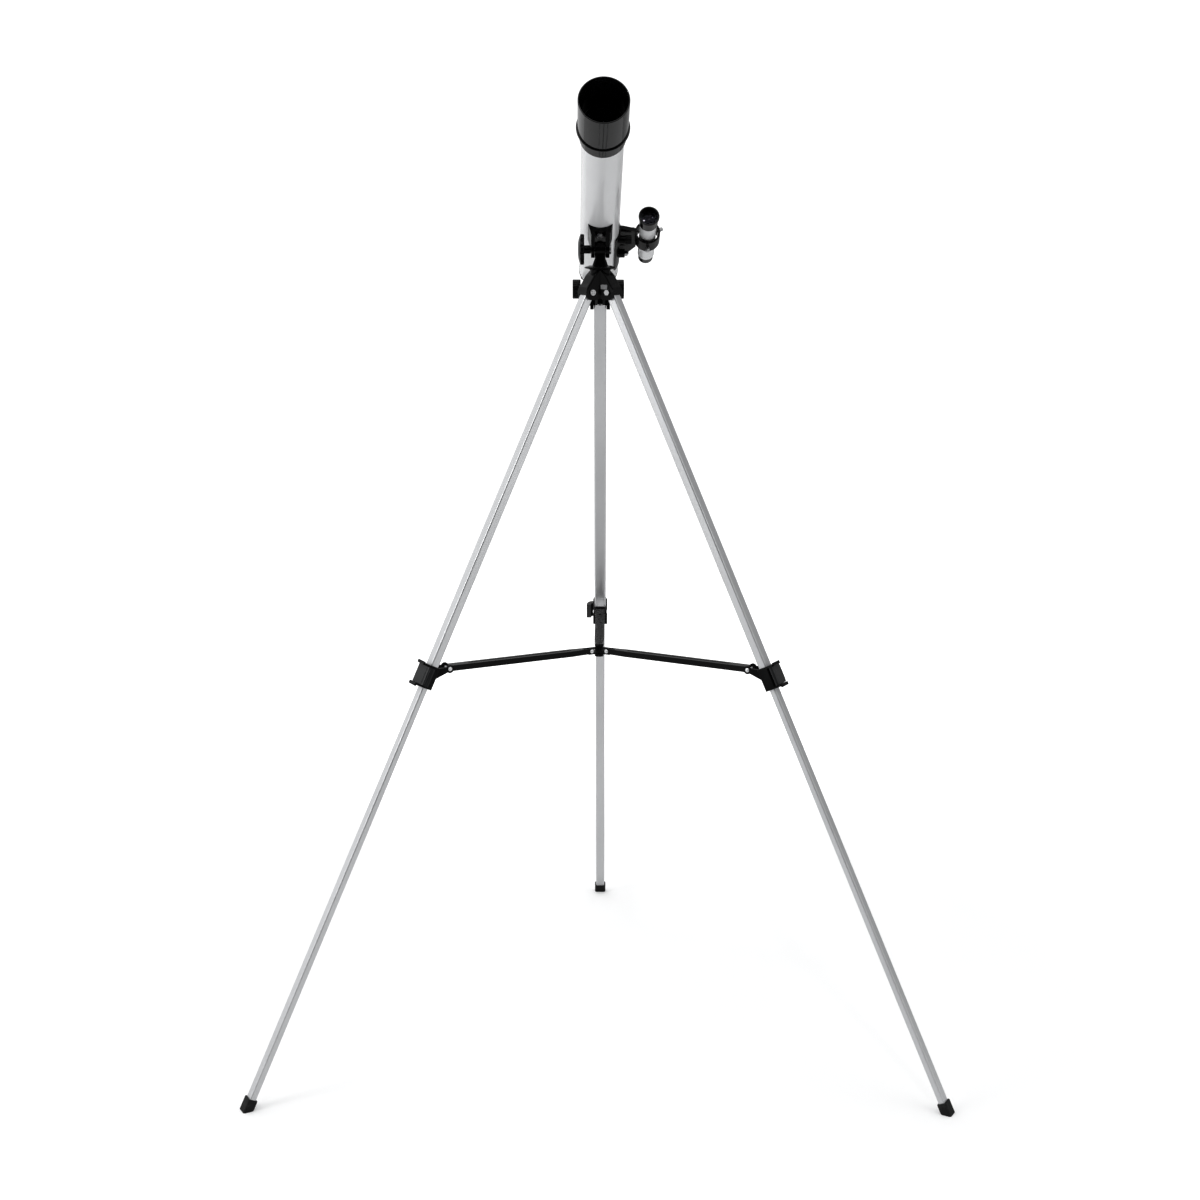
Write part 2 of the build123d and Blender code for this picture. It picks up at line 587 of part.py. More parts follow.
# neck: a tapered post that carries the cross barrel of the altitude axis
with BuildPart() as head_neck:
    with BuildSketch(plan(HEAD, neck_low)):
        RectangleRounded(23.0, 22.0, 4.0)
    with BuildSketch(plan(HEAD, NECK_TOP)):
        RectangleRounded(NECK_WIDTH, NECK_DEPTH, 3.0)
    loft()
    with BuildSketch(plan(HEAD, NECK_TOP)):
        RectangleRounded(NECK_WIDTH, NECK_DEPTH, 3.0)
    extrude(amount=7.0)
    with BuildSketch(cross(HEAD)):
        Circle(BARREL_RADIUS)
    extrude(amount=BARREL_WIDTH / 2, both=True)
    fillet(head_neck.edges().filter_by(GeomType.CIRCLE).group_by(Axis.Z)[-1], 0.8)
    with BuildSketch(cross(HEAD)):
        Circle(ALTITUDE_BOLT + FIT)
    extrude(amount=BARREL_WIDTH, both=True, mode=Mode.SUBTRACT)
    with BuildSketch(plan(HEAD, neck_low)):
        Circle(ALTITUDE_BOLT)
    extrude(amount=AZIMUTH_BOLT_GRIP, mode=Mode.SUBTRACT)
head_neck.part.label = "head_neck"
export_step(head_neck.part, "parts/head_neck.step")

# azimuth bolt: fixed in the neck, turns in the crown, held from below by a nut and a washer
bolt_end = PIVOT_HEIGHT + CROWN_BOTTOM - 11.0 - ALTITUDE_HEIGHT
with BuildPart() as azimuth_bolt:
    with BuildSketch(plan(HEAD, bolt_end)):
        Circle(ALTITUDE_BOLT)
    extrude(amount=neck_low + AZIMUTH_BOLT_GRIP - 0.2 - bolt_end)
    chamfer(azimuth_bolt.edges().sort_by(Axis.Z)[0], 0.8)
azimuth_bolt.part.label = "azimuth_bolt"
export_step(azimuth_bolt.part, "parts/azimuth_bolt.step")

nut_top = PIVOT_HEIGHT + CROWN_BOTTOM - 0.3 - ALTITUDE_HEIGHT
with BuildPart() as azimuth_nut:
    with BuildSketch(plan(HEAD, nut_top)):
        Circle(WASHER_RADIUS)
        Circle(ALTITUDE_BOLT, mode=Mode.SUBTRACT)
    extrude(amount=-WASHER_THICK)
    with BuildSketch(plan(HEAD, nut_top - WASHER_THICK)):
        RegularPolygon(7.4, 6)
        Circle(ALTITUDE_BOLT, mode=Mode.SUBTRACT)
    extrude(amount=-6.4)
azimuth_nut.part.label = "azimuth_nut"
export_step(azimuth_nut.part, "parts/azimuth_nut.step")

# saddle: two ears beside the barrel and a cradle that fits the tube
with BuildPart() as saddle:
    with BuildSketch(cross(SADDLE)):
        Circle(EAR_RADIUS)
        Polygon((0, -EAR_RADIUS), (16, -SADDLE_HALF), (30, -SADDLE_HALF), (30, SADDLE_HALF),
                (16, SADDLE_HALF), (0, EAR_RADIUS), align=None)
    extrude(amount=CRADLE_HALF, both=True)
    with BuildSketch(plan(SADDLE, -SADDLE_HALF)):
        Polygon((-EAR_OUTSIDE, -EAR_RADIUS), (EAR_OUTSIDE, -EAR_RADIUS), (EAR_OUTSIDE, EAR_RADIUS),
                (CRADLE_HALF, 28), (CRADLE_HALF, 32), (-CRADLE_HALF, 32), (-CRADLE_HALF, 28),
                (-EAR_OUTSIDE, EAR_RADIUS), align=None)
    extrude(amount=2 * SADDLE_HALF, mode=Mode.INTERSECT)
    with BuildSketch(plan(TUBE, -2 * SADDLE_HALF)):
        Circle(TUBE_RADIUS + FIT)
    extrude(amount=4 * SADDLE_HALF, mode=Mode.SUBTRACT)
    slot = outline(cross(SADDLE), (-20, -60), (SADDLE_WEB, -60), (SADDLE_WEB, 60), (-20, 60))
    extrude(slot, amount=EAR_INSIDE, both=True, mode=Mode.SUBTRACT)
    with BuildSketch(cross(SADDLE)):
        Circle(ALTITUDE_BOLT + FIT)
    extrude(amount=2 * EAR_OUTSIDE, both=True, mode=Mode.SUBTRACT)
    for place in SADDLE_BOLTS:
        with BuildSketch(side(SADDLE)):
            with Locations((0, place)):
                Circle(SADDLE_BOLT)
        extrude(amount=-TUBE_OFFSET, mode=Mode.SUBTRACT)
saddle.part.label = "saddle"
export_step(saddle.part, "parts/saddle.step")

# two bolts that hold the saddle to the tube, with a nut inside the tube
with BuildPart() as saddle_bolts:
    for place in SADDLE_BOLTS:
        with BuildSketch(side(SADDLE, SADDLE_WEB)):
            with Locations((0, place)):
                RegularPolygon(5.0, 6)
        extrude(amount=3.4)
        with BuildSketch(side(SADDLE, SADDLE_WEB)):
            with Locations((0, place)):
                Circle(SADDLE_BOLT)
        extrude(amount=-12.0)
        with BuildSketch(side(SADDLE, TUBE_OFFSET - TUBE_RADIUS + TUBE_WALL + 0.9)):
            with Locations((0, place)):
                RegularPolygon(4.6, 6)
        extrude(amount=-3.2)
saddle_bolts.part.label = "saddle_bolts"
export_step(saddle_bolts.part, "parts/saddle_bolts.step")

# altitude clamp: a bolt across the ears and the barrel, and the big knob on its left end
BOLT_LINE = Plane(origin=SADDLE.origin, x_dir=SADDLE.y_dir, z_dir=SADDLE.x_dir)
with BuildPart() as altitude_bolt:
    with BuildSketch(plan(BOLT_LINE, -KNOB_INNER - 4)):
        Circle(ALTITUDE_BOLT)
    extrude(amount=KNOB_INNER + 4 + EAR_OUTSIDE + 1)
    with BuildSketch(plan(BOLT_LINE, EAR_OUTSIDE + 0.3)):
        Circle(7.0)
    extrude(amount=2.6)
    fillet(altitude_bolt.edges().filter_by(GeomType.CIRCLE).sort_by(centre_line(BOLT_LINE))[-1], 1.0)
altitude_bolt.part.label = "altitude_bolt"
export_step(altitude_bolt.part, "parts/altitude_bolt.step")

with BuildPart() as altitude_knob:
    with BuildSketch(side(BOLT_LINE)):
        with BuildLine():
            Polyline((ALTITUDE_BOLT, -EAR_OUTSIDE - GAP), (KNOB_STEM, -EAR_OUTSIDE - GAP),
                     (KNOB_STEM, -KNOB_INNER),
                     (KNOB_RADIUS - 1, -KNOB_INNER), (KNOB_RADIUS, -KNOB_INNER - 1.2),
                     (KNOB_RADIUS, -KNOB_INNER - 5.2))
            ThreePointArc((KNOB_RADIUS, -KNOB_INNER - 5.2), (14.0, -KNOB_INNER - KNOB_THICK + 0.9),
                          (4.0, -KNOB_INNER - KNOB_THICK))
            Polyline((4.0, -KNOB_INNER - KNOB_THICK), (0, -KNOB_INNER - KNOB_THICK), (0, -KNOB_INNER - 4),
                     (ALTITUDE_BOLT, -KNOB_INNER - 4),
                     (ALTITUDE_BOLT, -EAR_OUTSIDE - GAP))
        make_face()
    revolve(axis=centre_line(BOLT_LINE))
    with BuildSketch(plan(BOLT_LINE, -KNOB_INNER)):
        with PolarLocations(KNOB_RADIUS + 2.2, KNOB_SCALLOPS):
            Circle(3.4)
    extrude(amount=-2 * KNOB_THICK, mode=Mode.SUBTRACT)
altitude_knob.part.label = "altitude_knob"
export_step(altitude_knob.part, "parts/altitude_knob.step")


# ---------------------------------------------------------------- optical tube
with BuildPart() as main_tube:
    with BuildSketch(plan(TUBE, TUBE_REAR)):
        Circle(TUBE_RADIUS)
    extrude(amount=TUBE_FRONT - TUBE_REAR)
    with BuildSketch(side(TUBE)):
        with Locations((TUBE_RADIUS - 0.4, TUBE_REAR + 1.2)):
            Circle(1.2)
    revolve(axis=centre_line(TUBE))
    with BuildSketch(plan(TUBE, TUBE_REAR - 5)):
        Circle(TUBE_RADIUS - TUBE_WALL)
    extrude(amount=TUBE_FRONT - TUBE_REAR + 10, mode=Mode.SUBTRACT)
    for place in SADDLE_BOLTS:
        with BuildSketch(side(SADDLE)):
            with Locations((0, place)):
                Circle(SADDLE_BOLT)
        extrude(amount=-TUBE_OFFSET, mode=Mode.SUBTRACT)
    for place in (KNOB_STUD, NUT_STUD):
        with BuildSketch(cross(TUBE)):
            with Locations((STUD_HEIGHT, place)):
                Circle(STUD_RADIUS)
        extrude(amount=TUBE_RADIUS + 5, mode=Mode.SUBTRACT)
    for turned in FOCUSER_SCREW_ANGLES:
        with BuildSketch(spoke(TUBE, turned, FOCUSER_SCREW_Z)):
            Circle(FOCUSER_SCREW)
        extrude(amount=TUBE_RADIUS + 5, mode=Mode.SUBTRACT)
main_tube.part.label = "main_tube"
export_step(main_tube.part, "parts/main_tube.step")

# objective cell: a sleeve over the end of the tube with a seat for the lenses
with BuildPart() as lens_cell:
    revolve(outline(side(TUBE), (TUBE_RADIUS + FIT, SLEEVE_REAR), (SLEEVE_RADIUS - 0.4, SLEEVE_REAR),
                    (SLEEVE_RADIUS, SLEEVE_REAR + 0.6), (SLEEVE_RADIUS, SHIELD_REAR - 0.1),
                    (SHIELD_RADIUS - SHIELD_WALL - FIT, SHIELD_REAR - 0.1),
                    (SHIELD_RADIUS - SHIELD_WALL - FIT, SHIELD_REAR + 16),
                    (OBJECTIVE_RADIUS + 0.4, SHIELD_REAR + 16), (OBJECTIVE_RADIUS + 0.4, OBJECTIVE_SEAT),
                    (OBJECTIVE_RADIUS - SEAT_LIP, OBJECTIVE_SEAT),
                    (OBJECTIVE_RADIUS - SEAT_LIP, TUBE_FRONT + 0.2),
                    (TUBE_RADIUS + FIT, TUBE_FRONT + 0.2)),
            axis=centre_line(TUBE))
lens_cell.part.label = "lens_cell"
export_step(lens_cell.part, "parts/lens_cell.step")


def lens(frame, radius, rear, edge, rear_sag, front_sag):
    """A round lens of this rim thickness; a positive sag bulges outward, a negative one is hollow."""
    with BuildPart() as glass:
        with BuildSketch(plan(frame, rear - max(rear_sag, 0))):
            Circle(radius)
        extrude(amount=edge + max(rear_sag, 0) + max(front_sag, 0))
        for face_at, sag, outward in ((rear, rear_sag, -1), (rear + edge, front_sag, 1)):
            curve = (radius ** 2 + sag ** 2) / (2 * abs(sag))
            bulge = 1 if sag > 0 else -1
            middle = face_at + outward * (sag - bulge * curve)
            with BuildSketch(side(frame)):
                with Locations((0, middle)):
                    Circle(curve)
                with Locations((-curve, middle)):
                    Rectangle(2 * curve, 4 * curve, mode=Mode.SUBTRACT)
            revolve(axis=centre_line(frame), mode=Mode.INTERSECT if sag > 0 else Mode.SUBTRACT)
    return glass.part


with BuildPart() as flint_lens:
    add(lens(TUBE, OBJECTIVE_RADIUS, OBJECTIVE_SEAT + 0.1, FLINT_EDGE, -0.3, -0.9))
flint_lens.part.label = "flint_lens"
export_step(flint_lens.part, "parts/flint_lens.step")

crown_rear = OBJECTIVE_SEAT + 0.1 + FLINT_EDGE + GAP
with BuildPart() as crown_lens:
    add(lens(TUBE, OBJECTIVE_RADIUS, crown_rear, CROWN_GLASS_EDGE, 0.8, 1.1))
crown_lens.part.label = "crown_lens"
export_step(crown_lens.part, "parts/crown_lens.step")

ring_rear = crown_rear + CROWN_GLASS_EDGE + GAP
with BuildPart() as lens_ring:
    revolve(outline(side(TUBE), (OBJECTIVE_RADIUS - SEAT_LIP, ring_rear),
                    (OBJECTIVE_RADIUS + 0.35, ring_rear), (OBJECTIVE_RADIUS + 0.35, ring_rear + 3),
                    (OBJECTIVE_RADIUS - 0.6, ring_rear + 3),
                    (OBJECTIVE_RADIUS - SEAT_LIP, ring_rear + 1.6)),
            axis=centre_line(TUBE))
lens_ring.part.label = "lens_ring"
export_step(lens_ring.part, "parts/lens_ring.step")

# dew shield with the narrow flange at its rear
with BuildPart() as dew_shield:
    revolve(outline(side(TUBE), (SHIELD_RADIUS - SHIELD_WALL, SHIELD_REAR),
                    (FLANGE_RADIUS - 0.6, SHIELD_REAR),
                    (FLANGE_RADIUS, SHIELD_REAR + 0.6), (FLANGE_RADIUS, SHIELD_REAR + 1.8),
                    (FLANGE_RADIUS - 0.6, SHIELD_REAR + 2.4), (SHIELD_RADIUS, SHIELD_REAR + 2.4),
                    (SHIELD_RADIUS, MOUTH - 0.5), (SHIELD_RADIUS - 0.5, MOUTH),
                    (SHIELD_RADIUS - SHIELD_WALL, MOUTH)),
            axis=centre_line(TUBE))
dew_shield.part.label = "dew_shield"
export_step(dew_shield.part, "parts/dew_shield.step")


# ---------------------------------------------------------------- focuser
rack_line = PINION_Y + GEAR_MODULE * PINION_TEETH / 2
focuser_outside = DRAW_RADIUS + FOCUSER_OUTSIDE
plug_radius = TUBE_RADIUS - TUBE_WALL - FIT
with BuildPart() as focuser_body:
    revolve(outline(side(TUBE), (DRAW_RADIUS + FIT, FOCUSER_REAR), (focuser_outside - 1, FOCUSER_REAR),
                    (focuser_outside, FOCUSER_REAR + 1), (focuser_outside, TUBE_REAR - 16),
                    (TUBE_RADIUS - 3, TUBE_REAR - 4), (REAR_RIM - 0.6, TUBE_REAR - 3.2),
                    (REAR_RIM, TUBE_REAR - 2.6), (REAR_RIM, TUBE_REAR - 0.1), (plug_radius, TUBE_REAR - 0.1),
                    (plug_radius, TUBE_REAR + 20), (plug_radius - 3, TUBE_REAR + 20),
                    (plug_radius - 3, TUBE_REAR + 2), (DRAW_RADIUS + FIT, TUBE_REAR - 2)),
            axis=centre_line(TUBE))
    with BuildSketch(cross(TUBE)):
        with Locations((PINION_Y + 1.0, PINION_Z)):
            RectangleRounded(17.0, 19.0, 4.0)
    extrude(amount=15.0, both=True)
    with BuildSketch(plan(TUBE, FOCUSER_REAR - 5)):
        Circle(DRAW_RADIUS + FIT)
    extrude(amount=TUBE_REAR - FOCUSER_REAR + 10, mode=Mode.SUBTRACT)
    rack_way = outline(plan(TUBE, FOCUSER_REAR - 5), (-RACK_HALF - 0.4, 0), (RACK_HALF + 0.4, 0),
                       (RACK_HALF + 0.4, -focuser_outside), (-RACK_HALF - 0.4, -focuser_outside))
    extrude(rack_way, amount=TUBE_REAR - FOCUSER_REAR + 26, mode=Mode.SUBTRACT)
    with BuildSketch(cross(TUBE)):
        with Locations((PINION_Y, PINION_Z)):
            Circle(GEAR_MODULE * (PINION_TEETH / 2 + 1) + 0.5)
    extrude(amount=RACK_HALF + 0.6, both=True, mode=Mode.SUBTRACT)
    with BuildSketch(cross(TUBE)):
        with Locations((PINION_Y, PINION_Z)):
            Circle(SHAFT_RADIUS + FIT)
    extrude(amount=30.0, both=True, mode=Mode.SUBTRACT)
    for turned in FOCUSER_SCREW_ANGLES:
        with BuildSketch(spoke(TUBE, turned, FOCUSER_SCREW_Z)):
            Circle(FOCUSER_SCREW)
        extrude(amount=TUBE_RADIUS + 5, mode=Mode.SUBTRACT)
focuser_body.part.label = "focuser_body"
export_step(focuser_body.part, "parts/focuser_body.step")

with BuildPart() as focuser_screws:
    for turned in FOCUSER_SCREW_ANGLES:
        screw = spoke(TUBE, turned, FOCUSER_SCREW_Z)
        with BuildSketch(plan(screw, TUBE_RADIUS - TUBE_WALL - 2.6)):
            Circle(FOCUSER_SCREW)
        extrude(amount=4.0)
        with BuildSketch(plan(screw, TUBE_RADIUS + 0.1)):
            Circle(2.8)
        extrude(amount=1.3, taper=24)
focuser_screws.part.label = "focuser_screws"
export_step(focuser_screws.part, "parts/focuser_screws.step")

# drawtube: slides in the focuser body and holds the diagonal in its socket
with BuildPart() as drawtube:
    revolve(outline(side(TUBE), (DRAW_BORE - 0.9, DRAW_FRONT), (DRAW_RADIUS, DRAW_FRONT),
                    (DRAW_RADIUS, DRAW_REAR + 12), (DRAW_RADIUS + 2.4, DRAW_REAR + 12),
                    (DRAW_RADIUS + 2.4, DRAW_REAR + 0.8), (DRAW_RADIUS + 1.6, DRAW_REAR),
                    (DRAW_BORE, DRAW_REAR), (DRAW_BORE, DRAW_REAR + 30), (DRAW_BORE - 0.9, DRAW_REAR + 30)),
            axis=centre_line(TUBE))
    with BuildSketch(side(TUBE)):
        with Locations((0, DRAW_REAR + 6)):
            Circle(SET_SCREW_RADIUS + THREAD_CLEAR)
    extrude(amount=-DRAW_RADIUS - 8, mode=Mode.SUBTRACT)
drawtube.part.label = "drawtube"
export_step(drawtube.part, "parts/drawtube.step")

# rack under the drawtube: straight teeth that mesh with the pinion
tooth_pitch = pi * GEAR_MODULE
rack_root = rack_line + 1.15 * GEAR_MODULE
rack_tip = rack_line - 0.8 * GEAR_MODULE
cut_line = rack_line - 0.9 * GEAR_MODULE
gap_at_root = tooth_pitch / 4 + (rack_line - rack_root) * tan(PRESSURE_ANGLE) + BACKLASH / 4
gap_at_tip = tooth_pitch / 4 + (rack_line - cut_line) * tan(PRESSURE_ANGLE) + BACKLASH / 4
gap_count = int((RACK_FRONT - RACK_REAR) / tooth_pitch)
first_gap = PINION_Z - tooth_pitch * round((PINION_Z - RACK_REAR) / tooth_pitch)
with BuildPart() as focus_rack:
    body = outline(cross(TUBE), (-DRAW_RADIUS + 0.6, RACK_REAR), (-DRAW_RADIUS + 0.6, RACK_FRONT),
                   (rack_tip, RACK_FRONT), (rack_tip, RACK_REAR))
    extrude(body, amount=RACK_HALF, both=True)
    with BuildSketch(plan(TUBE, RACK_REAR - 1)):
        Circle(DRAW_RADIUS)
    extrude(amount=RACK_FRONT - RACK_REAR + 2, mode=Mode.SUBTRACT)
    for index in range(gap_count + 1):
        middle = first_gap + index * tooth_pitch
        tooth_gap = outline(cross(TUBE), (rack_root, middle - gap_at_root), (rack_root, middle + gap_at_root),
                            (cut_line, middle + gap_at_tip), (cut_line, middle - gap_at_tip))
        if middle - gap_at_tip > RACK_REAR + 0.4 and middle + gap_at_tip < RACK_FRONT - 0.4:
            extrude(tooth_gap, amount=2 * RACK_HALF, both=True, mode=Mode.SUBTRACT)
focus_rack.part.label = "focus_rack"
export_step(focus_rack.part, "parts/focus_rack.step")

# pinion and its shaft, turned by the two focus knobs
PINION = Plane(origin=TUBE.from_local_coords((0, PINION_Y, PINION_Z)), x_dir=TUBE.y_dir, z_dir=TUBE.x_dir)


def involute_flank(base_radius, tip_radius, steps=5):
    """Points of one involute, from the base circle to the tip, starting on the X axis."""
    roll = (tip_radius ** 2 / base_radius ** 2 - 1) ** 0.5
    points = []
    for step in range(steps + 1):
        angle = roll * step / steps
        points.append((base_radius * (cos(angle) + angle * sin(angle)),
                       base_radius * (sin(angle) - angle * cos(angle))))
    return points


def turned_point(point, angle):
    return (point[0] * cos(angle) - point[1] * sin(angle), point[0] * sin(angle) + point[1] * cos(angle))


pitch_radius = GEAR_MODULE * PINION_TEETH / 2
base_radius = pitch_radius * cos(PRESSURE_ANGLE)
tip_radius = pitch_radius + 0.8 * GEAR_MODULE
root_radius = pitch_radius - 1.2 * GEAR_MODULE
involute_at_pitch = tan(PRESSURE_ANGLE) - PRESSURE_ANGLE
half_tooth = (pi / 2 - BACKLASH / 2 / GEAR_MODULE) / PINION_TEETH + involute_at_pitch
with BuildPart() as pinion_shaft:
    with BuildSketch(plan(PINION, -RACK_HALF)):
        Circle(root_radius + 0.05)
        flank = involute_flank(base_radius, tip_radius)
        for tooth in range(PINION_TEETH):
            middle = 2 * pi * tooth / PINION_TEETH
            left = [turned_point(point, middle - half_tooth) for point in flank]
            right = [turned_point((x, -y), middle + half_tooth) for x, y in reversed(flank)]
            foot_left = turned_point((root_radius - 0.3, 0), middle - half_tooth)
            foot_right = turned_point((root_radius - 0.3, 0), middle + half_tooth)
            with BuildLine():
                Polyline(foot_left, *left, *right, foot_right, close=True)
            make_face()
    extrude(amount=2 * RACK_HALF)
    with BuildSketch(plan(PINION, -KNOB_SPAN / 2 + 2)):
        Circle(SHAFT_RADIUS)
    extrude(amount=KNOB_SPAN - 4)
pinion_shaft.part.label = "pinion_shaft"
export_step(pinion_shaft.part, "parts/pinion_shaft.step")

with BuildPart() as focus_knobs:
    for side_sign in (-1, 1):
        with BuildSketch(side(PINION)):
            outer = side_sign * KNOB_SPAN / 2
            inner = side_sign * (KNOB_SPAN / 2 - FOCUS_KNOB_WIDTH)
            hub_end = side_sign * 15.6
            dish = outer - side_sign * 1.2
            shaft_end = outer - side_sign * 2
            Polygon((SHAFT_RADIUS, hub_end), (6.4, hub_end), (6.4, inner), (FOCUS_KNOB_RADIUS - 0.6, inner),
                    (FOCUS_KNOB_RADIUS, inner + side_sign * 0.6),
                    (FOCUS_KNOB_RADIUS, outer - side_sign * 0.8), (FOCUS_KNOB_RADIUS - 0.8, outer),
                    (9.0, outer), (8.0, dish), (0, dish), (0, shaft_end), (SHAFT_RADIUS, shaft_end),
                    align=None)
        revolve(axis=centre_line(PINION))
    with BuildSketch(plan(PINION, -KNOB_SPAN)):
        with PolarLocations(FOCUS_KNOB_RADIUS + 0.35, FOCUS_KNOB_RIBS):
            Circle(0.9)
    extrude(amount=2 * KNOB_SPAN, mode=Mode.SUBTRACT)
focus_knobs.part.label = "focus_knobs"
export_step(focus_knobs.part, "parts/focus_knobs.step")


def thumb_screw(frame, tip, thread_end, thread_radius, head_radius, head_length):
    """A thumb screw along Z: plain thread from tip to thread_end, then a fluted round head."""
    with BuildPart() as screw:
        with BuildSketch(plan(frame, tip)):
            Circle(thread_radius)
        extrude(amount=thread_end - tip)
        with BuildSketch(plan(frame, thread_end)):
            Circle(head_radius)
            with PolarLocations(head_radius + 0.25, THUMB_FLUTES):
                Circle(0.7, mode=Mode.SUBTRACT)
        extrude(amount=head_length)
    return screw.part


# screws that hold the diagonal in the drawtube and the eyepiece in the diagonal
DRAW_SCREW = Plane(origin=TUBE.from_local_coords((0, 0, DRAW_REAR + 6)), x_dir=TUBE.x_dir, z_dir=TUBE.y_dir)
with BuildPart() as drawtube_screw:
    add(thumb_screw(DRAW_SCREW, DRAW_BORE + GAP, DRAW_RADIUS + 2.9, SET_SCREW_RADIUS, THUMB_RADIUS,
                    THUMB_LENGTH))
drawtube_screw.part.label = "drawtube_screw"
export_step(drawtube_screw.part, "parts/drawtube_screw.step")


# ---------------------------------------------------------------- star diagonal
EYE = Plane(origin=TUBE.from_local_coords((0, 0, DIAGONAL_Z)), x_dir=TUBE.x_dir, z_dir=TUBE.y_dir)
MIRROR = Plane(origin=EYE.origin, x_dir=TUBE.x_dir, z_dir=TUBE.y_dir + TUBE.z_dir)
diagonal_front = DIAGONAL_Z + DIAGONAL_HALF
with BuildPart() as light_path:
    with BuildSketch(plan(TUBE, DIAGONAL_Z - 30)):
        Circle(LIGHT_RADIUS - 0.6)
    extrude(amount=60.0)
    with BuildSketch(plan(EYE, -30)):
        Circle(LIGHT_RADIUS)
    extrude(amount=EYE_SOCKET_TOP + 40)
    with BuildSketch(plan(MIRROR, -0.02)):
        Rectangle(300, 300)
    extrude(amount=200.0, mode=Mode.INTERSECT)

with BuildPart() as diagonal_body:
    with BuildSketch(cross(TUBE)):
        Polygon((-DIAGONAL_HALF, diagonal_front), (DIAGONAL_HALF, diagonal_front),
                (DIAGONAL_HALF, DIAGONAL_Z - DIAGONAL_HALF),
                (DIAGONAL_HALF - BACK_CUT, DIAGONAL_Z - DIAGONAL_HALF),
                (-DIAGONAL_HALF, diagonal_front - BACK_CUT), align=None)
    extrude(amount=DIAGONAL_HALF, both=True)
    chamfer(diagonal_body.edges(), 1.0)
    revolve(outline(side(TUBE), (0, diagonal_front - 1), (17.0, diagonal_front - 1), (17.0, DRAW_REAR - 0.3),
                    (EYE_BARREL_RADIUS, DRAW_REAR - 0.3), (EYE_BARREL_RADIUS, DRAW_REAR + 27),
                    (EYE_BARREL_RADIUS - 0.6, DRAW_REAR + 27.6), (0, DRAW_REAR + 27.6)),
            axis=centre_line(TUBE))
    revolve(outline(side(EYE), (0, DIAGONAL_HALF - 1), (17.8, DIAGONAL_HALF - 1), (17.8, EYE_SOCKET_TOP - 12),
                    (19.2, EYE_SOCKET_TOP - 11), (19.2, EYE_SOCKET_TOP - 0.6), (18.6, EYE_SOCKET_TOP),
                    (0, EYE_SOCKET_TOP)),
            axis=centre_line(EYE))
    with BuildSketch(plan(EYE, SOCKET_FLOOR)):
        Circle(EYE_BARREL_RADIUS + FIT)
    extrude(amount=40.0, mode=Mode.SUBTRACT)
    add(light_path.part, mode=Mode.SUBTRACT)
    with BuildSketch(plan(MIRROR, -3.1)):
        Ellipse(LIGHT_RADIUS + 0.7, LIGHT_RADIUS * 2 ** 0.5 + 0.8)
    extrude(amount=3.4, mode=Mode.SUBTRACT)
    with BuildSketch(cross(TUBE)):
        with Locations((EYE_SOCKET_TOP - 6, DIAGONAL_Z)):
            Circle(SET_SCREW_RADIUS + THREAD_CLEAR)
    extrude(amount=-30.0, mode=Mode.SUBTRACT)
    with BuildSketch(plan(TUBE, DRAW_REAR - 6)):
        Circle(LIGHT_RADIUS - 0.6)
    extrude(amount=40.0, mode=Mode.SUBTRACT)
diagonal_body.part.label = "diagonal_body"
export_step(diagonal_body.part, "parts/diagonal_body.step")

with BuildPart() as diagonal_mirror:
    with BuildSketch(plan(MIRROR, -0.05)):
        Ellipse(LIGHT_RADIUS + 0.6, LIGHT_RADIUS * 2 ** 0.5 + 0.7)
    extrude(amount=-3.0)
diagonal_mirror.part.label = "diagonal_mirror"
export_step(diagonal_mirror.part, "parts/diagonal_mirror.step")

eye_screw_place = EYE.from_local_coords((0, 0, EYE_SOCKET_TOP - 6))
EYE_SCREW = Plane(origin=eye_screw_place, x_dir=TUBE.y_dir, z_dir=-TUBE.x_dir)
with BuildPart() as diagonal_screw:
    add(thumb_screw(EYE_SCREW, EYE_BARREL_RADIUS + GAP, 19.6, SET_SCREW_RADIUS, THUMB_RADIUS, THUMB_LENGTH))
diagonal_screw.part.label = "diagonal_screw"
export_step(diagonal_screw.part, "parts/diagonal_screw.step")


# ---------------------------------------------------------------- eyepiece
with BuildPart() as eyepiece_body:
    revolve(outline(side(EYE), (13.6, SOCKET_FLOOR + 1), (EYE_BARREL_RADIUS - 0.4, SOCKET_FLOOR + 1),
                    (EYE_BARREL_RADIUS, SOCKET_FLOOR + 1.4), (EYE_BARREL_RADIUS, EYE_SOCKET_TOP + 0.3),
                    (18.0, EYE_SOCKET_TOP + 0.3), (18.8, EYE_SOCKET_TOP + 1.2), (18.8, EYE_TOP - 22),
                    (17.6, EYE_TOP - 20), (17.6, EYE_TOP - 8), (15.8, EYE_TOP - 4), (15.8, EYE_TOP - 0.8),
                    (15.0, EYE_TOP), (12.6, EYE_TOP), (9.2, EYE_TOP - 4), (9.2, EYE_TOP - 9),
                    (8.2, EYE_TOP - 9), (8.2, EYE_TOP - 11), (13.6, EYE_TOP - 20)),
            axis=centre_line(EYE))
    with BuildSketch(plan(EYE, EYE_SOCKET_TOP + 4)):
        with PolarLocations(19.1, 40):
            Circle(0.7)
    extrude(amount=12.0, mode=Mode.SUBTRACT)
eyepiece_body.part.label = "eyepiece_body"
export_step(eyepiece_body.part, "parts/eyepiece_body.step")

with BuildPart() as eyepiece_lenses:
    add(lens(EYE, 9.1, EYE_TOP - 8.6, 2.2, 0.8, 1.0))
    add(lens(EYE, 13.5, SOCKET_FLOOR + 6, 2.6, 0.6, 1.4))
eyepiece_lenses.part.label = "eyepiece_lenses"
export_step(eyepiece_lenses.part, "parts/eyepiece_lenses.step")


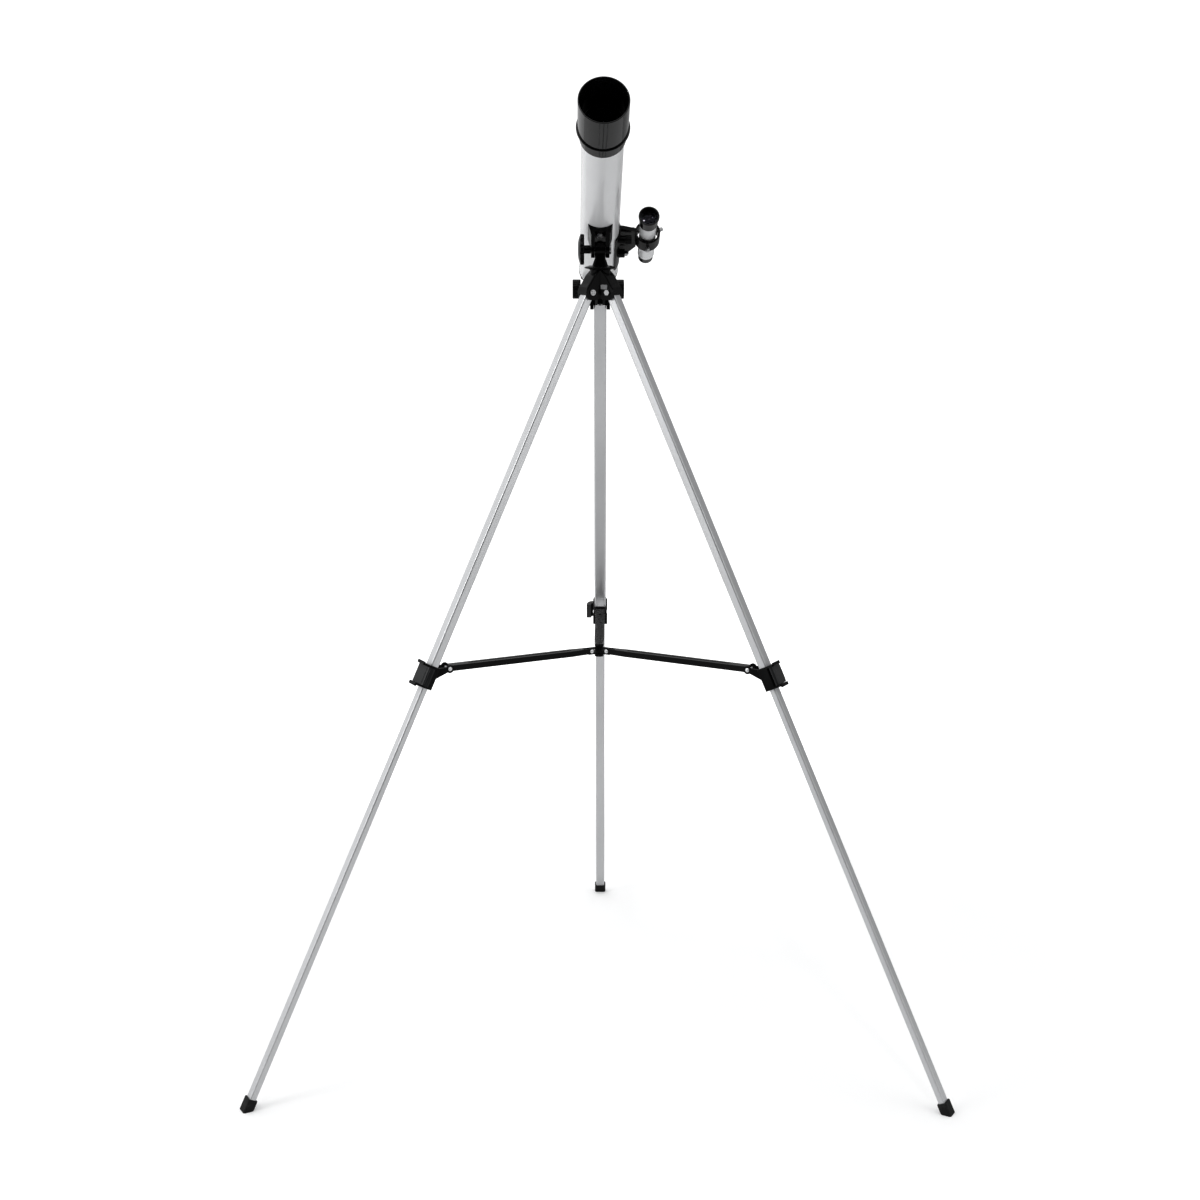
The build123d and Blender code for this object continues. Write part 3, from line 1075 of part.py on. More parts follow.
# ---------------------------------------------------------------- finder
with BuildPart() as finder_tube:
    revolve(outline(side(FINDER), (FINDER_RADIUS - 1, -118), (FINDER_RADIUS, -118), (FINDER_RADIUS, -10),
                    (FINDER_RADIUS - 1, -10)),
            axis=centre_line(FINDER))
finder_tube.part.label = "finder_tube"
export_step(finder_tube.part, "parts/finder_tube.step")

with BuildPart() as finder_cell:
    revolve(outline(side(FINDER), (FINDER_RADIUS + FIT, CELL_REAR), (13.3, CELL_REAR),
                    (13.7, CELL_REAR + 0.4),
                    (13.7, 0.6), (15.3, 1.6), (15.3, FINDER_MOUTH - 0.5), (14.8, FINDER_MOUTH),
                    (13.3, FINDER_MOUTH), (11.8, -3), (11.8, -8), (10.4, -8), (10.4, -9.9),
                    (FINDER_RADIUS + FIT, -9.9)),
            axis=centre_line(FINDER))
finder_cell.part.label = "finder_cell"
export_step(finder_cell.part, "parts/finder_cell.step")

with BuildPart() as finder_lens:
    add(lens(FINDER, 11.7, -7.8, 2.4, 0.5, 0.8))
finder_lens.part.label = "finder_lens"
export_step(finder_lens.part, "parts/finder_lens.step")

with BuildPart() as finder_eyepiece:
    revolve(outline(side(FINDER), (9.4, -106), (FINDER_RADIUS - 1 - GAP, -106),
                    (FINDER_RADIUS - 1 - GAP, FINDER_REAR + 0.6), (FINDER_RADIUS - 1.9, FINDER_REAR),
                    (7.5, FINDER_REAR), (4.6, FINDER_REAR + 2.4), (4.6, FINDER_REAR + 4),
                    (9.4, FINDER_REAR + 4)),
            axis=centre_line(FINDER))
finder_eyepiece.part.label = "finder_eyepiece"
export_step(finder_eyepiece.part, "parts/finder_eyepiece.step")

# bracket: a ring around the finder, a web, and a foot curved to the tube
wrap_edge = 2 * TUBE_RADIUS * tan(radians(BRACKET_WRAP))
with BuildPart() as finder_bracket:
    web_top = Plane(origin=TUBE.from_local_coords((0, WEB_HIGH, 0)), x_dir=TUBE.x_dir, z_dir=-TUBE.y_dir)
    extrude(outline(web_top, (28, BRACKET_FRONT - 2), (35, BRACKET_FRONT - 3), (53, RING_FRONT - 1),
                    (60, RING_FRONT - 3), (60, RING_REAR + 2), (56.5, RING_REAR - 4), (55, BRACKET_REAR + 40),
                    (40, BRACKET_REAR + 13), (33, BRACKET_REAR + 1), (28, BRACKET_REAR + 1)),
            amount=WEB_THICK)
    with BuildSketch(plan(TUBE, BRACKET_REAR)):
        Circle(TUBE_RADIUS + BRACKET_FOOT)
        Polygon((0, 0), (2 * TUBE_RADIUS, -wrap_edge), (2 * TUBE_RADIUS, wrap_edge), align=None,
                mode=Mode.INTERSECT)
    extrude(amount=BRACKET_FRONT - BRACKET_REAR)
    for place in (KNOB_STUD, NUT_STUD):
        with BuildSketch(cross(TUBE, TUBE_RADIUS - 5)):
            with Locations((STUD_HEIGHT, place)):
                Circle(PAD_RADIUS)
        extrude(amount=PAD_TOP - TUBE_RADIUS + 5)
    with BuildSketch(plan(FINDER, RING_REAR)):
        Circle(RING_RADIUS)
    extrude(amount=RING_FRONT - RING_REAR)
    with BuildSketch(plan(FINDER, RING_REAR - 20)):
        Circle(RING_BORE)
    extrude(amount=60.0, mode=Mode.SUBTRACT)
    with BuildSketch(plan(TUBE, -200)):
        Circle(TUBE_RADIUS + FIT)
    extrude(amount=200.0, mode=Mode.SUBTRACT)
    for place in (KNOB_STUD, NUT_STUD):
        with BuildSketch(cross(TUBE)):
            with Locations((STUD_HEIGHT, place)):
                Circle(STUD_RADIUS)
        extrude(amount=60.0, mode=Mode.SUBTRACT)
    for turned in FINDER_SCREW_ANGLES:
        with BuildSketch(spoke(FINDER, turned, RING_MIDDLE)):
            Circle(SET_SCREW_RADIUS)
        extrude(amount=30.0, mode=Mode.SUBTRACT)
finder_bracket.part.label = "finder_bracket"
export_step(finder_bracket.part, "parts/finder_bracket.step")

# three screws round the ring point the finder
with BuildPart() as finder_screws:
    for turned in FINDER_SCREW_ANGLES:
        screw_line = spoke(FINDER, turned, RING_MIDDLE)
        add(thumb_screw(screw_line, FINDER_RADIUS + FIT, RING_RADIUS + 1.4, SET_SCREW_RADIUS, 3.2, 5.6))
finder_screws.part.label = "finder_screws"
export_step(finder_screws.part, "parts/finder_screws.step")


def stud_frame(place):
    """On the tube's axis, level with a stud of the bracket: its Z runs along the stud."""
    origin = TUBE.from_local_coords((0, STUD_HEIGHT, place))
    return Plane(origin=origin, x_dir=TUBE.y_dir, z_dir=TUBE.x_dir)


def bracket_stud(frame):
    """A stud through the tube's wall with a thin nut inside."""
    with BuildPart() as stud:
        with BuildSketch(plan(frame, STUD_START)):
            Circle(STUD_RADIUS)
        extrude(amount=PAD_TOP + 6 - STUD_START)
        with BuildSketch(plan(frame, STUD_START + 0.4)):
            RegularPolygon(3.4, 6)
        extrude(amount=1.0)
    return stud.part


# the foot is held by a black thumb nut in front and a plain nut behind
with BuildPart() as bracket_knob:
    add(bracket_stud(stud_frame(KNOB_STUD)))
    with BuildSketch(plan(stud_frame(KNOB_STUD), PAD_TOP + FIT)):
        Circle(7.0)
        with PolarLocations(7.9, 12):
            Circle(1.6, mode=Mode.SUBTRACT)
    extrude(amount=9.0)
bracket_knob.part.label = "bracket_knob"
export_step(bracket_knob.part, "parts/bracket_knob.step")

with BuildPart() as bracket_nut:
    add(bracket_stud(stud_frame(NUT_STUD)))
    with BuildSketch(plan(stud_frame(NUT_STUD), PAD_TOP + FIT)):
        RegularPolygon(4.4, 6)
    extrude(amount=4.4)
bracket_nut.part.label = "bracket_nut"
export_step(bracket_nut.part, "parts/bracket_nut.step")
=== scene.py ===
import bpy
import bmesh
import json
from math import cos, pi, radians, sin
from mathutils import Matrix, Vector
from mathutils.bvhtree import BVHTree


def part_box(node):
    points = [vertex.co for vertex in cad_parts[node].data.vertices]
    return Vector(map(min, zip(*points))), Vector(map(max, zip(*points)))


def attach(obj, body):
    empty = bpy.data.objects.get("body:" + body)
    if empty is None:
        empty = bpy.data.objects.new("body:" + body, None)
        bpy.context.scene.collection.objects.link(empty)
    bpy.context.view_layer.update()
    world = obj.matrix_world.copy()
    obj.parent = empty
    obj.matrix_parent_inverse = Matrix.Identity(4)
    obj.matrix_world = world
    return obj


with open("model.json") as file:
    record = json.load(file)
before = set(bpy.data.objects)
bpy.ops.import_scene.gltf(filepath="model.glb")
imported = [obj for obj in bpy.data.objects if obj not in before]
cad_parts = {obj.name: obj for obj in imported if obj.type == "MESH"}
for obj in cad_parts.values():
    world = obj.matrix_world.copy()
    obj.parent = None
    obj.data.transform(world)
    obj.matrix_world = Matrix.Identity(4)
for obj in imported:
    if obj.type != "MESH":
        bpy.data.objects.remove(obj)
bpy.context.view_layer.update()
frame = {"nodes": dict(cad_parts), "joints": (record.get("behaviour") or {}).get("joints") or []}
joints = {joint["name"]: joint for joint in frame["joints"]}
nodes = frame["nodes"]
SIDES = ("left", "right", "back")


def direction(joint):
    return Vector(joints[joint]["axis"]).normalized()


def pivot(joint):
    return Vector(joints[joint]["pos_m"])


ACROSS = direction("altitude_clamp_turn")     # left to right over the tube
ABOVE = direction("eyepiece_lift")            # square to the tube, upward
AIM = -direction("drawtube_slide")            # along the optical axis to the front
ON_AXIS = pivot("diagonal_turn")              # a point of the optical axis
TRIPOD = pivot("azimuth_turn")                # the upright axis passes here
FINDER_X = 0.0715                             # from the optical axis to the finder's
TUBE_WALL = 0.0285                            # radius of the middle of the main tube's wall
FINDER_WALL = 0.0120                          # and of the finder tube's
WALL_BLUR = 0.0001
EDGE_FROM = 0.52                              # pointiness where rubbed edges start
EDGE_TO = 0.6167                              # and where they are fully rubbed


# ------------------------------------------------------------------ materials
class Finish:
    """A node material with a few short calls for what most of the finishes share."""

    def __init__(self, name, turned=None, **sockets):
        self.material = bpy.data.materials.new(name)
        self.material.use_nodes = True
        self.tree = self.material.node_tree
        self.shader = self.tree.nodes["Principled BSDF"]
        for socket, value in sockets.items():
            self.shader.inputs[socket.replace("_", " ")].default_value = value
        coordinates = self.tree.nodes.new("ShaderNodeTexCoord")
        mapping = self.tree.nodes.new("ShaderNodeMapping")
        mapping.inputs["Rotation"].default_value = turned or (0, 0, 0)
        self.tree.links.new(coordinates.outputs["Object"], mapping.inputs["Vector"])
        self.place = mapping.outputs["Vector"]

    def stretched(self, x, y, z):
        mapping = self.tree.nodes.new("ShaderNodeMapping")
        mapping.inputs["Scale"].default_value = (x, y, z)
        self.tree.links.new(self.place, mapping.inputs["Vector"])
        return mapping.outputs["Vector"]

    def noise(self, scale, detail=4.0, roughness=0.55, place=None):
        node = self.tree.nodes.new("ShaderNodeTexNoise")
        node.inputs["Scale"].default_value = scale
        node.inputs["Detail"].default_value = detail
        node.inputs["Roughness"].default_value = roughness
        self.tree.links.new(place or self.place, node.inputs["Vector"])
        return node.outputs["Fac"]

    def cells(self, scale):
        node = self.tree.nodes.new("ShaderNodeTexVoronoi")
        node.inputs["Scale"].default_value = scale
        self.tree.links.new(self.place, node.inputs["Vector"])
        return node.outputs["Distance"]

    def between(self, source, low, high, start=0.0, end=1.0):
        """source from start to end becomes low to high, both numbers or both colours."""
        if isinstance(low, tuple):
            node = self.tree.nodes.new("ShaderNodeValToRGB")
            node.color_ramp.elements[0].position = start
            node.color_ramp.elements[0].color = low
            node.color_ramp.elements[1].position = end
            node.color_ramp.elements[1].color = high
            self.tree.links.new(source, node.inputs["Fac"])
            return node.outputs["Color"]
        node = self.tree.nodes.new("ShaderNodeMapRange")
        node.inputs["From Min"].default_value = start
        node.inputs["From Max"].default_value = end
        node.inputs["To Min"].default_value = low
        node.inputs["To Max"].default_value = high
        self.tree.links.new(source, node.inputs["Value"])
        return node.outputs["Result"]

    def mixed(self, one, other, factor):
        node = self.tree.nodes.new("ShaderNodeMix")
        node.data_type = "RGBA"
        self.tree.links.new(one, node.inputs["A"])
        self.tree.links.new(other, node.inputs["B"])
        self.tree.links.new(factor, node.inputs["Factor"])
        return node.outputs["Result"]

    def worn_edges(self):
        """1 on outer corners and edges, 0 elsewhere."""
        geometry = self.tree.nodes.new("ShaderNodeNewGeometry")
        return self.between(geometry.outputs["Pointiness"], 0.0, 1.0, EDGE_FROM, EDGE_TO)

    def outside(self, point, axis, radius):
        """0 nearer to a line than this radius, 1 further out. Tells a tube's bore from its skin."""
        geometry = self.tree.nodes.new("ShaderNodeTexCoord")
        shifted = self.tree.nodes.new("ShaderNodeVectorMath")
        shifted.operation = "SUBTRACT"
        shifted.inputs[1].default_value = point
        self.tree.links.new(geometry.outputs["Object"], shifted.inputs[0])
        crossed = self.tree.nodes.new("ShaderNodeVectorMath")
        crossed.operation = "CROSS_PRODUCT"
        crossed.inputs[1].default_value = axis
        self.tree.links.new(shifted.outputs[0], crossed.inputs[0])
        length = self.tree.nodes.new("ShaderNodeVectorMath")
        length.operation = "LENGTH"
        self.tree.links.new(crossed.outputs[0], length.inputs[0])
        return self.between(length.outputs["Value"], 0.0, 1.0, radius - WALL_BLUR, radius + WALL_BLUR)

    def colour(self, source):
        self.tree.links.new(source, self.shader.inputs["Base Color"])

    def rough(self, source):
        self.tree.links.new(source, self.shader.inputs["Roughness"])

    def bump(self, *layers):
        """layers are (height source, strength, depth in metres), from the finest up."""
        normal = None
        for source, strength, depth in layers:
            node = self.tree.nodes.new("ShaderNodeBump")
            node.inputs["Strength"].default_value = strength
            node.inputs["Distance"].default_value = depth
            self.tree.links.new(source, node.inputs["Height"])
            if normal:
                self.tree.links.new(normal, node.inputs["Normal"])
            normal = node.outputs["Normal"]
        self.tree.links.new(normal, self.shader.inputs["Normal"])


BLACK_SHEEN = 0.12      # how strongly the satin blacks mirror; 0.5 is plain plastic


def grey(value, tint=0.0):
    return (value * (1 - tint / 2), value, value * (1 + tint), 1.0)


def moulded(name, low, high, roughness, grain, scale, wear=0.0, sheen=BLACK_SHEEN):
    """Moulded black plastic: a fine spark-eroded grain, faint cloudiness and lighter rubbed edges."""
    finish = Finish(name, Specular_IOR_Level=sheen)
    cloud = finish.between(finish.noise(38), grey(low, 0.04), grey(high, 0.04), 0.35, 0.7)
    if wear:
        pale = finish.between(finish.noise(160), grey(high + wear, 0.03), grey(high + wear * 1.4, 0.03))
        cloud = finish.mixed(cloud, pale, finish.worn_edges())
    finish.colour(cloud)
    finish.rough(finish.between(finish.noise(75, 6), *roughness, 0.3, 0.7))
    finish.bump((finish.noise(scale, 3), 0.5, grain), (finish.noise(55, 2), 0.25, grain * 3))
    return finish.material


def enamel(name, low, high, roughness, coat):
    """Sprayed enamel: orange peel, a soft gloss coat and a trace of dust."""
    finish = Finish(name, Coat_Weight=coat, Coat_Roughness=0.12, Specular_IOR_Level=BLACK_SHEEN)
    finish.colour(finish.between(finish.noise(14, 5), grey(low, 0.01), grey(high, 0.01), 0.3, 0.7))
    finish.rough(finish.between(finish.noise(60, 6), *roughness, 0.3, 0.75))
    finish.bump((finish.noise(420, 2), 0.35, 0.00003), (finish.noise(2400, 2), 0.2, 0.00001))
    return finish.material


def white_tube(name, point, wall_middle):
    """White enamel outside and flat black inside, round the line of sight through this point."""
    finish = Finish(name, Coat_Weight=0.4, Coat_Roughness=0.12)
    skin = finish.outside(point, AIM, wall_middle)
    white = finish.between(finish.noise(14, 5), grey(0.84, 0.01), grey(0.88, 0.01), 0.3, 0.7)
    black = finish.between(finish.noise(90), grey(0.002), grey(0.004))
    finish.colour(finish.mixed(black, white, skin))
    finish.rough(finish.between(finish.noise(60, 6), 0.16, 0.26, 0.3, 0.75))
    finish.bump((finish.noise(420, 2), 0.35, 0.00003), (finish.noise(2400, 2), 0.2, 0.00001))
    return finish.material


def metal(name, low, high, roughness=(0.22, 0.4)):
    """Turned or plated metal with fine tool marks and dull patches."""
    finish = Finish(name, Metallic=1.0)
    finish.colour(finish.between(finish.noise(90, 5), grey(low, 0.01), grey(high, 0.01), 0.3, 0.7))
    finish.rough(finish.between(finish.noise(260, 6), *roughness, 0.3, 0.7))
    finish.bump((finish.noise(1800, 3), 0.4, 0.00002))
    return finish.material


def drawn_aluminium(side):
    """Anodised tube: die lines run along the leg, with small scuffs and a slight cloudiness."""
    down = direction(f"lower_leg_slide_{side}")
    level = direction(f"leg_fold_{side}")
    upright = Matrix((level, down.cross(level), down))
    finish = Finish(f"aluminium_{side}", turned=upright.to_euler(), Metallic=0.82, IOR=1.5)
    lines = finish.noise(1.0, 4, 0.6, finish.stretched(1500, 1500, 5))
    clouds = finish.noise(9, 5)
    scuffs = finish.between(finish.noise(1.0, 6, 0.7, finish.stretched(420, 420, 60)), 0.0, 1.0, 0.62, 0.74)
    base = finish.between(clouds, grey(0.68, 0.012), grey(0.74, 0.012), 0.3, 0.7)
    finish.colour(finish.mixed(base, finish.between(lines, grey(0.6, 0.01), grey(0.8, 0.01)), scuffs))
    finish.rough(finish.between(lines, 0.26, 0.44, 0.25, 0.75))
    finish.bump((lines, 0.35, 0.00003), (scuffs, 0.15, 0.00002))
    return finish.material


def rubber():
    finish = Finish("foot_rubber", IOR=1.45)
    dust = finish.between(finish.noise(120, 6), 0.0, 0.8, 0.5, 0.75)
    black = finish.between(finish.noise(300), grey(0.004), grey(0.008))
    dusty = finish.between(finish.noise(800), grey(0.02), grey(0.04))
    finish.colour(finish.mixed(black, dusty, dust))
    finish.rough(finish.between(finish.noise(90), 0.5, 0.8))
    finish.bump((finish.noise(1500, 3), 0.6, 0.00006), (finish.cells(600), 0.2, 0.00005))
    return finish.material


def glass(name, tint):
    """Coated lens glass with a few dust specks."""
    finish = Finish(name, IOR=1.52, Transmission_Weight=1.0, Specular_Tint=tint)
    finish.colour(finish.between(finish.noise(30), (0.95, 0.98, 1.0, 1), (0.9, 0.95, 1.0, 1)))
    finish.rough(finish.between(finish.noise(700, 6), 0.0, 0.12, 0.68, 0.8))
    finish.bump((finish.noise(20, 1), 0.02, 0.00002))
    return finish.material


black_gloss = moulded("black_gloss", 0.004, 0.007, roughness=(0.06, 0.11), grain=0.000004, scale=1300,
                      sheen=0.5)
black_satin = moulded("black_satin", 0.003, 0.005, roughness=(0.16, 0.26), grain=0.00002, scale=900,
                      wear=0.012)
black_lever = moulded("black_lever", 0.018, 0.028, roughness=(0.12, 0.24), grain=0.00001, scale=1200,
                      wear=0.03, sheen=0.3)
black_matt = moulded("black_matt", 0.003, 0.006, roughness=(0.55, 0.75), grain=0.00006, scale=1100)
black_enamel = enamel("black_enamel", 0.002, 0.004, roughness=(0.16, 0.3), coat=0.04)
arm_enamel = enamel("arm_enamel", 0.005, 0.009, roughness=(0.24, 0.36), coat=0.08)
tube_white = white_tube("tube_white", ON_AXIS, TUBE_WALL)
finder_white = white_tube("finder_white", ON_AXIS + ACROSS * FINDER_X, FINDER_WALL)
zinc = metal("zinc", 0.38, 0.5)
bright_zinc = metal("bright_zinc", 0.78, 0.86, (0.5, 0.6))
polished_steel = metal("polished_steel", 0.34, 0.42, (0.1, 0.16))
chrome = metal("chrome", 0.72, 0.8, (0.06, 0.14))
silver_plate = metal("silver_plate", 0.2, 0.28, (0.4, 0.55))
mirror = metal("mirror", 0.88, 0.92, (0.01, 0.03))
lens_glass = glass("lens_glass", (0.7, 0.66, 0.85, 1.0))
finder_glass = glass("finder_glass", (0.2, 0.19, 0.24, 1.0))
foot_rubber = rubber()

PAINT = {
    "crown": black_satin, "crown_plate": silver_plate, "leg_bolts": polished_steel,
    "spreader_hub": black_satin,
    "azimuth_disc": black_enamel, "azimuth_bolt": zinc, "azimuth_nut": black_satin,
    "head_neck": black_enamel, "saddle": black_enamel, "saddle_bolts": bright_zinc,
    "altitude_bolt": zinc, "altitude_knob": black_satin,
    "main_tube": tube_white, "dew_shield": black_gloss, "lens_cell": black_gloss,
    "lens_ring": black_matt, "crown_lens": lens_glass, "flint_lens": lens_glass,
    "focuser_body": black_gloss, "focuser_screws": zinc, "focus_rack": black_satin,
    "focus_knobs": black_satin, "pinion_shaft": zinc,
    "drawtube": chrome, "drawtube_screw": black_satin,
    "diagonal_body": black_satin, "diagonal_mirror": mirror, "diagonal_screw": black_satin,
    "eyepiece_body": black_satin, "eyepiece_lenses": lens_glass,
    "finder_bracket": black_enamel, "bracket_knob": black_satin, "bracket_nut": zinc,
    "finder_screws": zinc, "finder_tube": finder_white, "finder_cell": black_gloss,
    "finder_lens": finder_glass, "finder_eyepiece": black_gloss,
}
for side in SIDES:
    aluminium = drawn_aluminium(side)
    PAINT[f"upper_leg_{side}"] = aluminium
    PAINT[f"lower_leg_{side}"] = aluminium
    PAINT[f"foot_{side}"] = foot_rubber
    PAINT[f"lock_housing_{side}"] = black_satin
    PAINT[f"lock_lever_{side}"] = black_lever
    PAINT[f"spreader_arm_{side}"] = arm_enamel
    PAINT[f"arm_rivets_{side}"] = bright_zinc


SAME_POINT = 0.000005
SHARP_EDGE = radians(38)


def soften(piece, width):
    """Rounds the sharp edges a little, as those of moulded and pressed parts are."""
    weld = piece.modifiers.new("weld", "WELD")
    weld.merge_threshold = SAME_POINT
    bevel = piece.modifiers.new("bevel", "BEVEL")
    bevel.width = width
    bevel.segments = 2
    bevel.limit_method = "ANGLE"
    bevel.angle_limit = SHARP_EDGE
    normals = piece.modifiers.new("normals", "WEIGHTED_NORMAL")
    normals.keep_sharp = True


USUAL_EDGE = 0.00025
EDGE = {"crown_lens": 0, "flint_lens": 0, "eyepiece_lenses": 0, "finder_lens": 0, "diagonal_mirror": 0,
        "pinion_shaft": 0.00005, "focus_rack": 0.00005, "crown": 0.0006, "saddle": 0.0005,
        "altitude_knob": 0.0004, "focus_knobs": 0.0003}
for name, piece in nodes.items():
    for slot in piece.material_slots:
        slot.material = PAINT[name]
    width = EDGE.get(name, USUAL_EDGE)
    if width:
        soften(piece, width)


# ------------------------------------------------------------------ pieces built here
def piece_from(name, bm, material, body, place, outward):
    """Makes a smooth-shaded piece of a mesh, with its own Z outward, and lets it ride on a body."""
    mesh = bpy.data.meshes.new(name)
    bm.to_mesh(mesh)
    bm.free()
    for face in mesh.polygons:
        face.use_smooth = True
    mesh.materials.append(material)
    piece = bpy.data.objects.new(name, mesh)
    bpy.context.collection.objects.link(piece)
    piece.location = place
    piece.rotation_euler = Vector(outward).to_track_quat("Z", "Y").to_euler()
    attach(piece, body)
    return piece


def lathe(bm, profile, segments, dip):
    """A closed solid of revolution about Z from (radius, height) points that start and end on the axis.
    The dip is how far each point is pressed in."""
    first = bm.verts.new((0, 0, profile[0][1] - dip(0, 0)))
    last = bm.verts.new((0, 0, profile[-1][1]))
    rings = []
    for radius, height in profile[1:-1]:
        ring = []
        for step in range(segments):
            turn = 2 * pi * step / segments
            x, y = radius * cos(turn), radius * sin(turn)
            ring.append(bm.verts.new((x, y, height - dip(x, y))))
        rings.append(ring)
    for step in range(segments):
        after = (step + 1) % segments
        bm.faces.new((first, rings[0][step], rings[0][after]))
        for inner, outer in zip(rings, rings[1:]):
            bm.faces.new((inner[step], outer[step], outer[after], inner[after]))
        bm.faces.new((rings[-1][step], last, rings[-1][after]))
    bmesh.ops.recalc_face_normals(bm, faces=bm.faces)


CROSS_BAR = 0.13               # half the width of a bar, as a share of the head's radius
CROSS_REACH = 0.58             # and half its length
CROSS_LIMIT = 0.7              # the head is whole further out than this share of the radius
CROSS_DEPTH = 0.55             # share of the head's height
CROSS_EDGE = 1.35              # where the walls start, in half widths from the middle of a bar
CROSS_WALL = 0.7               # how far in they slope, in half widths
HEAD_RINGS = 22
HEAD_SEGMENTS = 96
HEAD_DOME = 0.5                # how much lower the rim is, as a share of the height


def cross_recess(radius, depth):
    """How far a head is pressed in at a point: a cross with sloping walls, deepest in the middle."""
    half_bar = radius * CROSS_BAR
    reach = radius * CROSS_REACH

    def dip(x, y):
        if x * x + y * y >= (radius * CROSS_LIMIT) ** 2:
            return 0
        across = min(max(abs(x) / reach, abs(y) / half_bar), max(abs(y) / reach, abs(x) / half_bar))
        return depth * min(max((CROSS_EDGE - across) / CROSS_WALL, 0.0), 1.0)

    return dip


def pan_head(name, body, place, outward, radius, height, material):
    """A domed screw head with a cross recess. Place is the middle of its under side."""
    profile = [(0, height)]
    for ring in range(1, HEAD_RINGS + 1):
        share = ring / HEAD_RINGS
        profile.append((radius * share, height * (1 - HEAD_DOME * share ** 4)))
    profile.append((radius, 0))
    profile.append((0, 0))
    bm = bmesh.new()
    lathe(bm, profile, HEAD_SEGMENTS, cross_recess(radius, height * CROSS_DEPTH))
    piece_from(name, bm, material, body, place, outward)


def on_tube(turned, z):
    """A point of the optical axis, z metres ahead of the altitude axis, and a direction square to it."""
    outward = ACROSS * cos(radians(turned)) + ABOVE * sin(radians(turned))
    return ON_AXIS + AIM * (z - DIAGONAL_PIVOT_Z), outward


CROWN_HALF = 0.0132            # from the middle of a leg to the face under its bolt head
BOLT_HEAD = 0.00445
BOLT_HEAD_HEIGHT = 0.0027
DIAGONAL_PIVOT_Z = -0.250      # along the tube from the altitude axis
TUBE_RADIUS = 0.029
SKIN_GAP = 0.00005             # room under the focuser's screw heads
FOCUSER_SCREW_Z = -0.164
FOCUSER_SCREW_TURNS = (-131, -49, 90)      # degrees round the tube from its right side
FOCUSER_HEAD = 0.003
FOCUSER_HEAD_HEIGHT = 0.0016
for side in SIDES:
    across = direction(f"leg_fold_{side}")
    seat = pivot(f"leg_fold_{side}") + across * CROWN_HALF
    pan_head(f"leg_bolt_head_{side}", "crown", seat, across, BOLT_HEAD, BOLT_HEAD_HEIGHT, polished_steel)
for number, turned in enumerate(FOCUSER_SCREW_TURNS, 1):
    on_axis, outward = on_tube(turned, FOCUSER_SCREW_Z)
    seat = on_axis + outward * (TUBE_RADIUS + SKIN_GAP)
    pan_head(f"focuser_screw_head_{number}", "tube", seat, outward, FOCUSER_HEAD, FOCUSER_HEAD_HEIGHT, zinc)


RIDGE_LENGTH = 0.022
RIDGE_WIDTH = 0.0009
RIDGE_HEIGHT = 0.0004
RIDGE_SINK = 0.00005           # its foot stands this deep in the face
RIDGE_STEPS = 6
RIDGE_ENDS = ((-0.5, 0.35), (-0.48, 1.0), (0.48, 1.0), (0.5, 0.35))     # shares of its length and section
GRIP_TURNS = (12, 24, 36, 48)  # degrees from outward to across, round the end of the lever
GRIP_ACROSS = 0.02135          # from the lever's hinge to the middle of that round end
GRIP_INWARD = 0.00845          # and how far that lies toward the leg
GRIP_RADIUS = 0.0105


def ridge(bm, place, along, outward):
    """Adds a rounded rib on a face, low at both ends. Place is the middle of its foot."""
    sideways = along.cross(outward)
    rows = []
    for end, full in RIDGE_ENDS:
        row = []
        for step in range(RIDGE_STEPS + 1):
            turn = pi * step / RIDGE_STEPS
            over = sideways * RIDGE_WIDTH / 2 * cos(turn) + outward * RIDGE_HEIGHT * sin(turn)
            row.append(bm.verts.new(place + along * RIDGE_LENGTH * end + over * full))
        rows.append(row)
    for one, other in zip(rows, rows[1:]):
        for step in range(RIDGE_STEPS + 1):
            after = (step + 1) % (RIDGE_STEPS + 1)
            bm.faces.new((one[step], one[after], other[after], other[step]))
    bm.faces.new(rows[0])
    bm.faces.new(tuple(reversed(rows[-1])))


def lever_grip(side):
    """Grip ribs along the rounded end of a lock lever, each seated on the lever's own face."""
    down = direction(f"lower_leg_slide_{side}")
    across = direction(f"leg_fold_{side}")
    outward = down.cross(across)
    lever = nodes[f"lock_lever_{side}"].data
    skin = BVHTree.FromPolygons([v.co for v in lever.vertices], [tuple(f.vertices) for f in lever.polygons])
    middle = pivot(f"lock_lever_turn_{side}") + across * GRIP_ACROSS - outward * GRIP_INWARD
    bm = bmesh.new()
    for turned in GRIP_TURNS:
        normal = outward * cos(radians(turned)) + across * sin(radians(turned))
        seat = skin.find_nearest(middle + normal * GRIP_RADIUS)[0]
        ridge(bm, seat - normal * RIDGE_SINK - middle, down, normal)
    bmesh.ops.recalc_face_normals(bm, faces=bm.faces)
    grip = piece_from(f"lever_grip_{side}", bm, black_lever, f"lock_lever_{side}", middle, down)
    grip.rotation_euler = (0, 0, 0)


for side in SIDES:
    lever_grip(side)


# ------------------------------------------------------------------ studio
FLOOR_REACH = 3.4
FLOOR_CORNERS = 96
GLOW_NEAR = 0.25               # the camera sees the floor this much brighter than it is lit
GLOW_FAR = 0.7
GLOW_RISES_FROM = 0.75         # distances from the middle of the tripod
GLOW_RISES_TO = 1.7


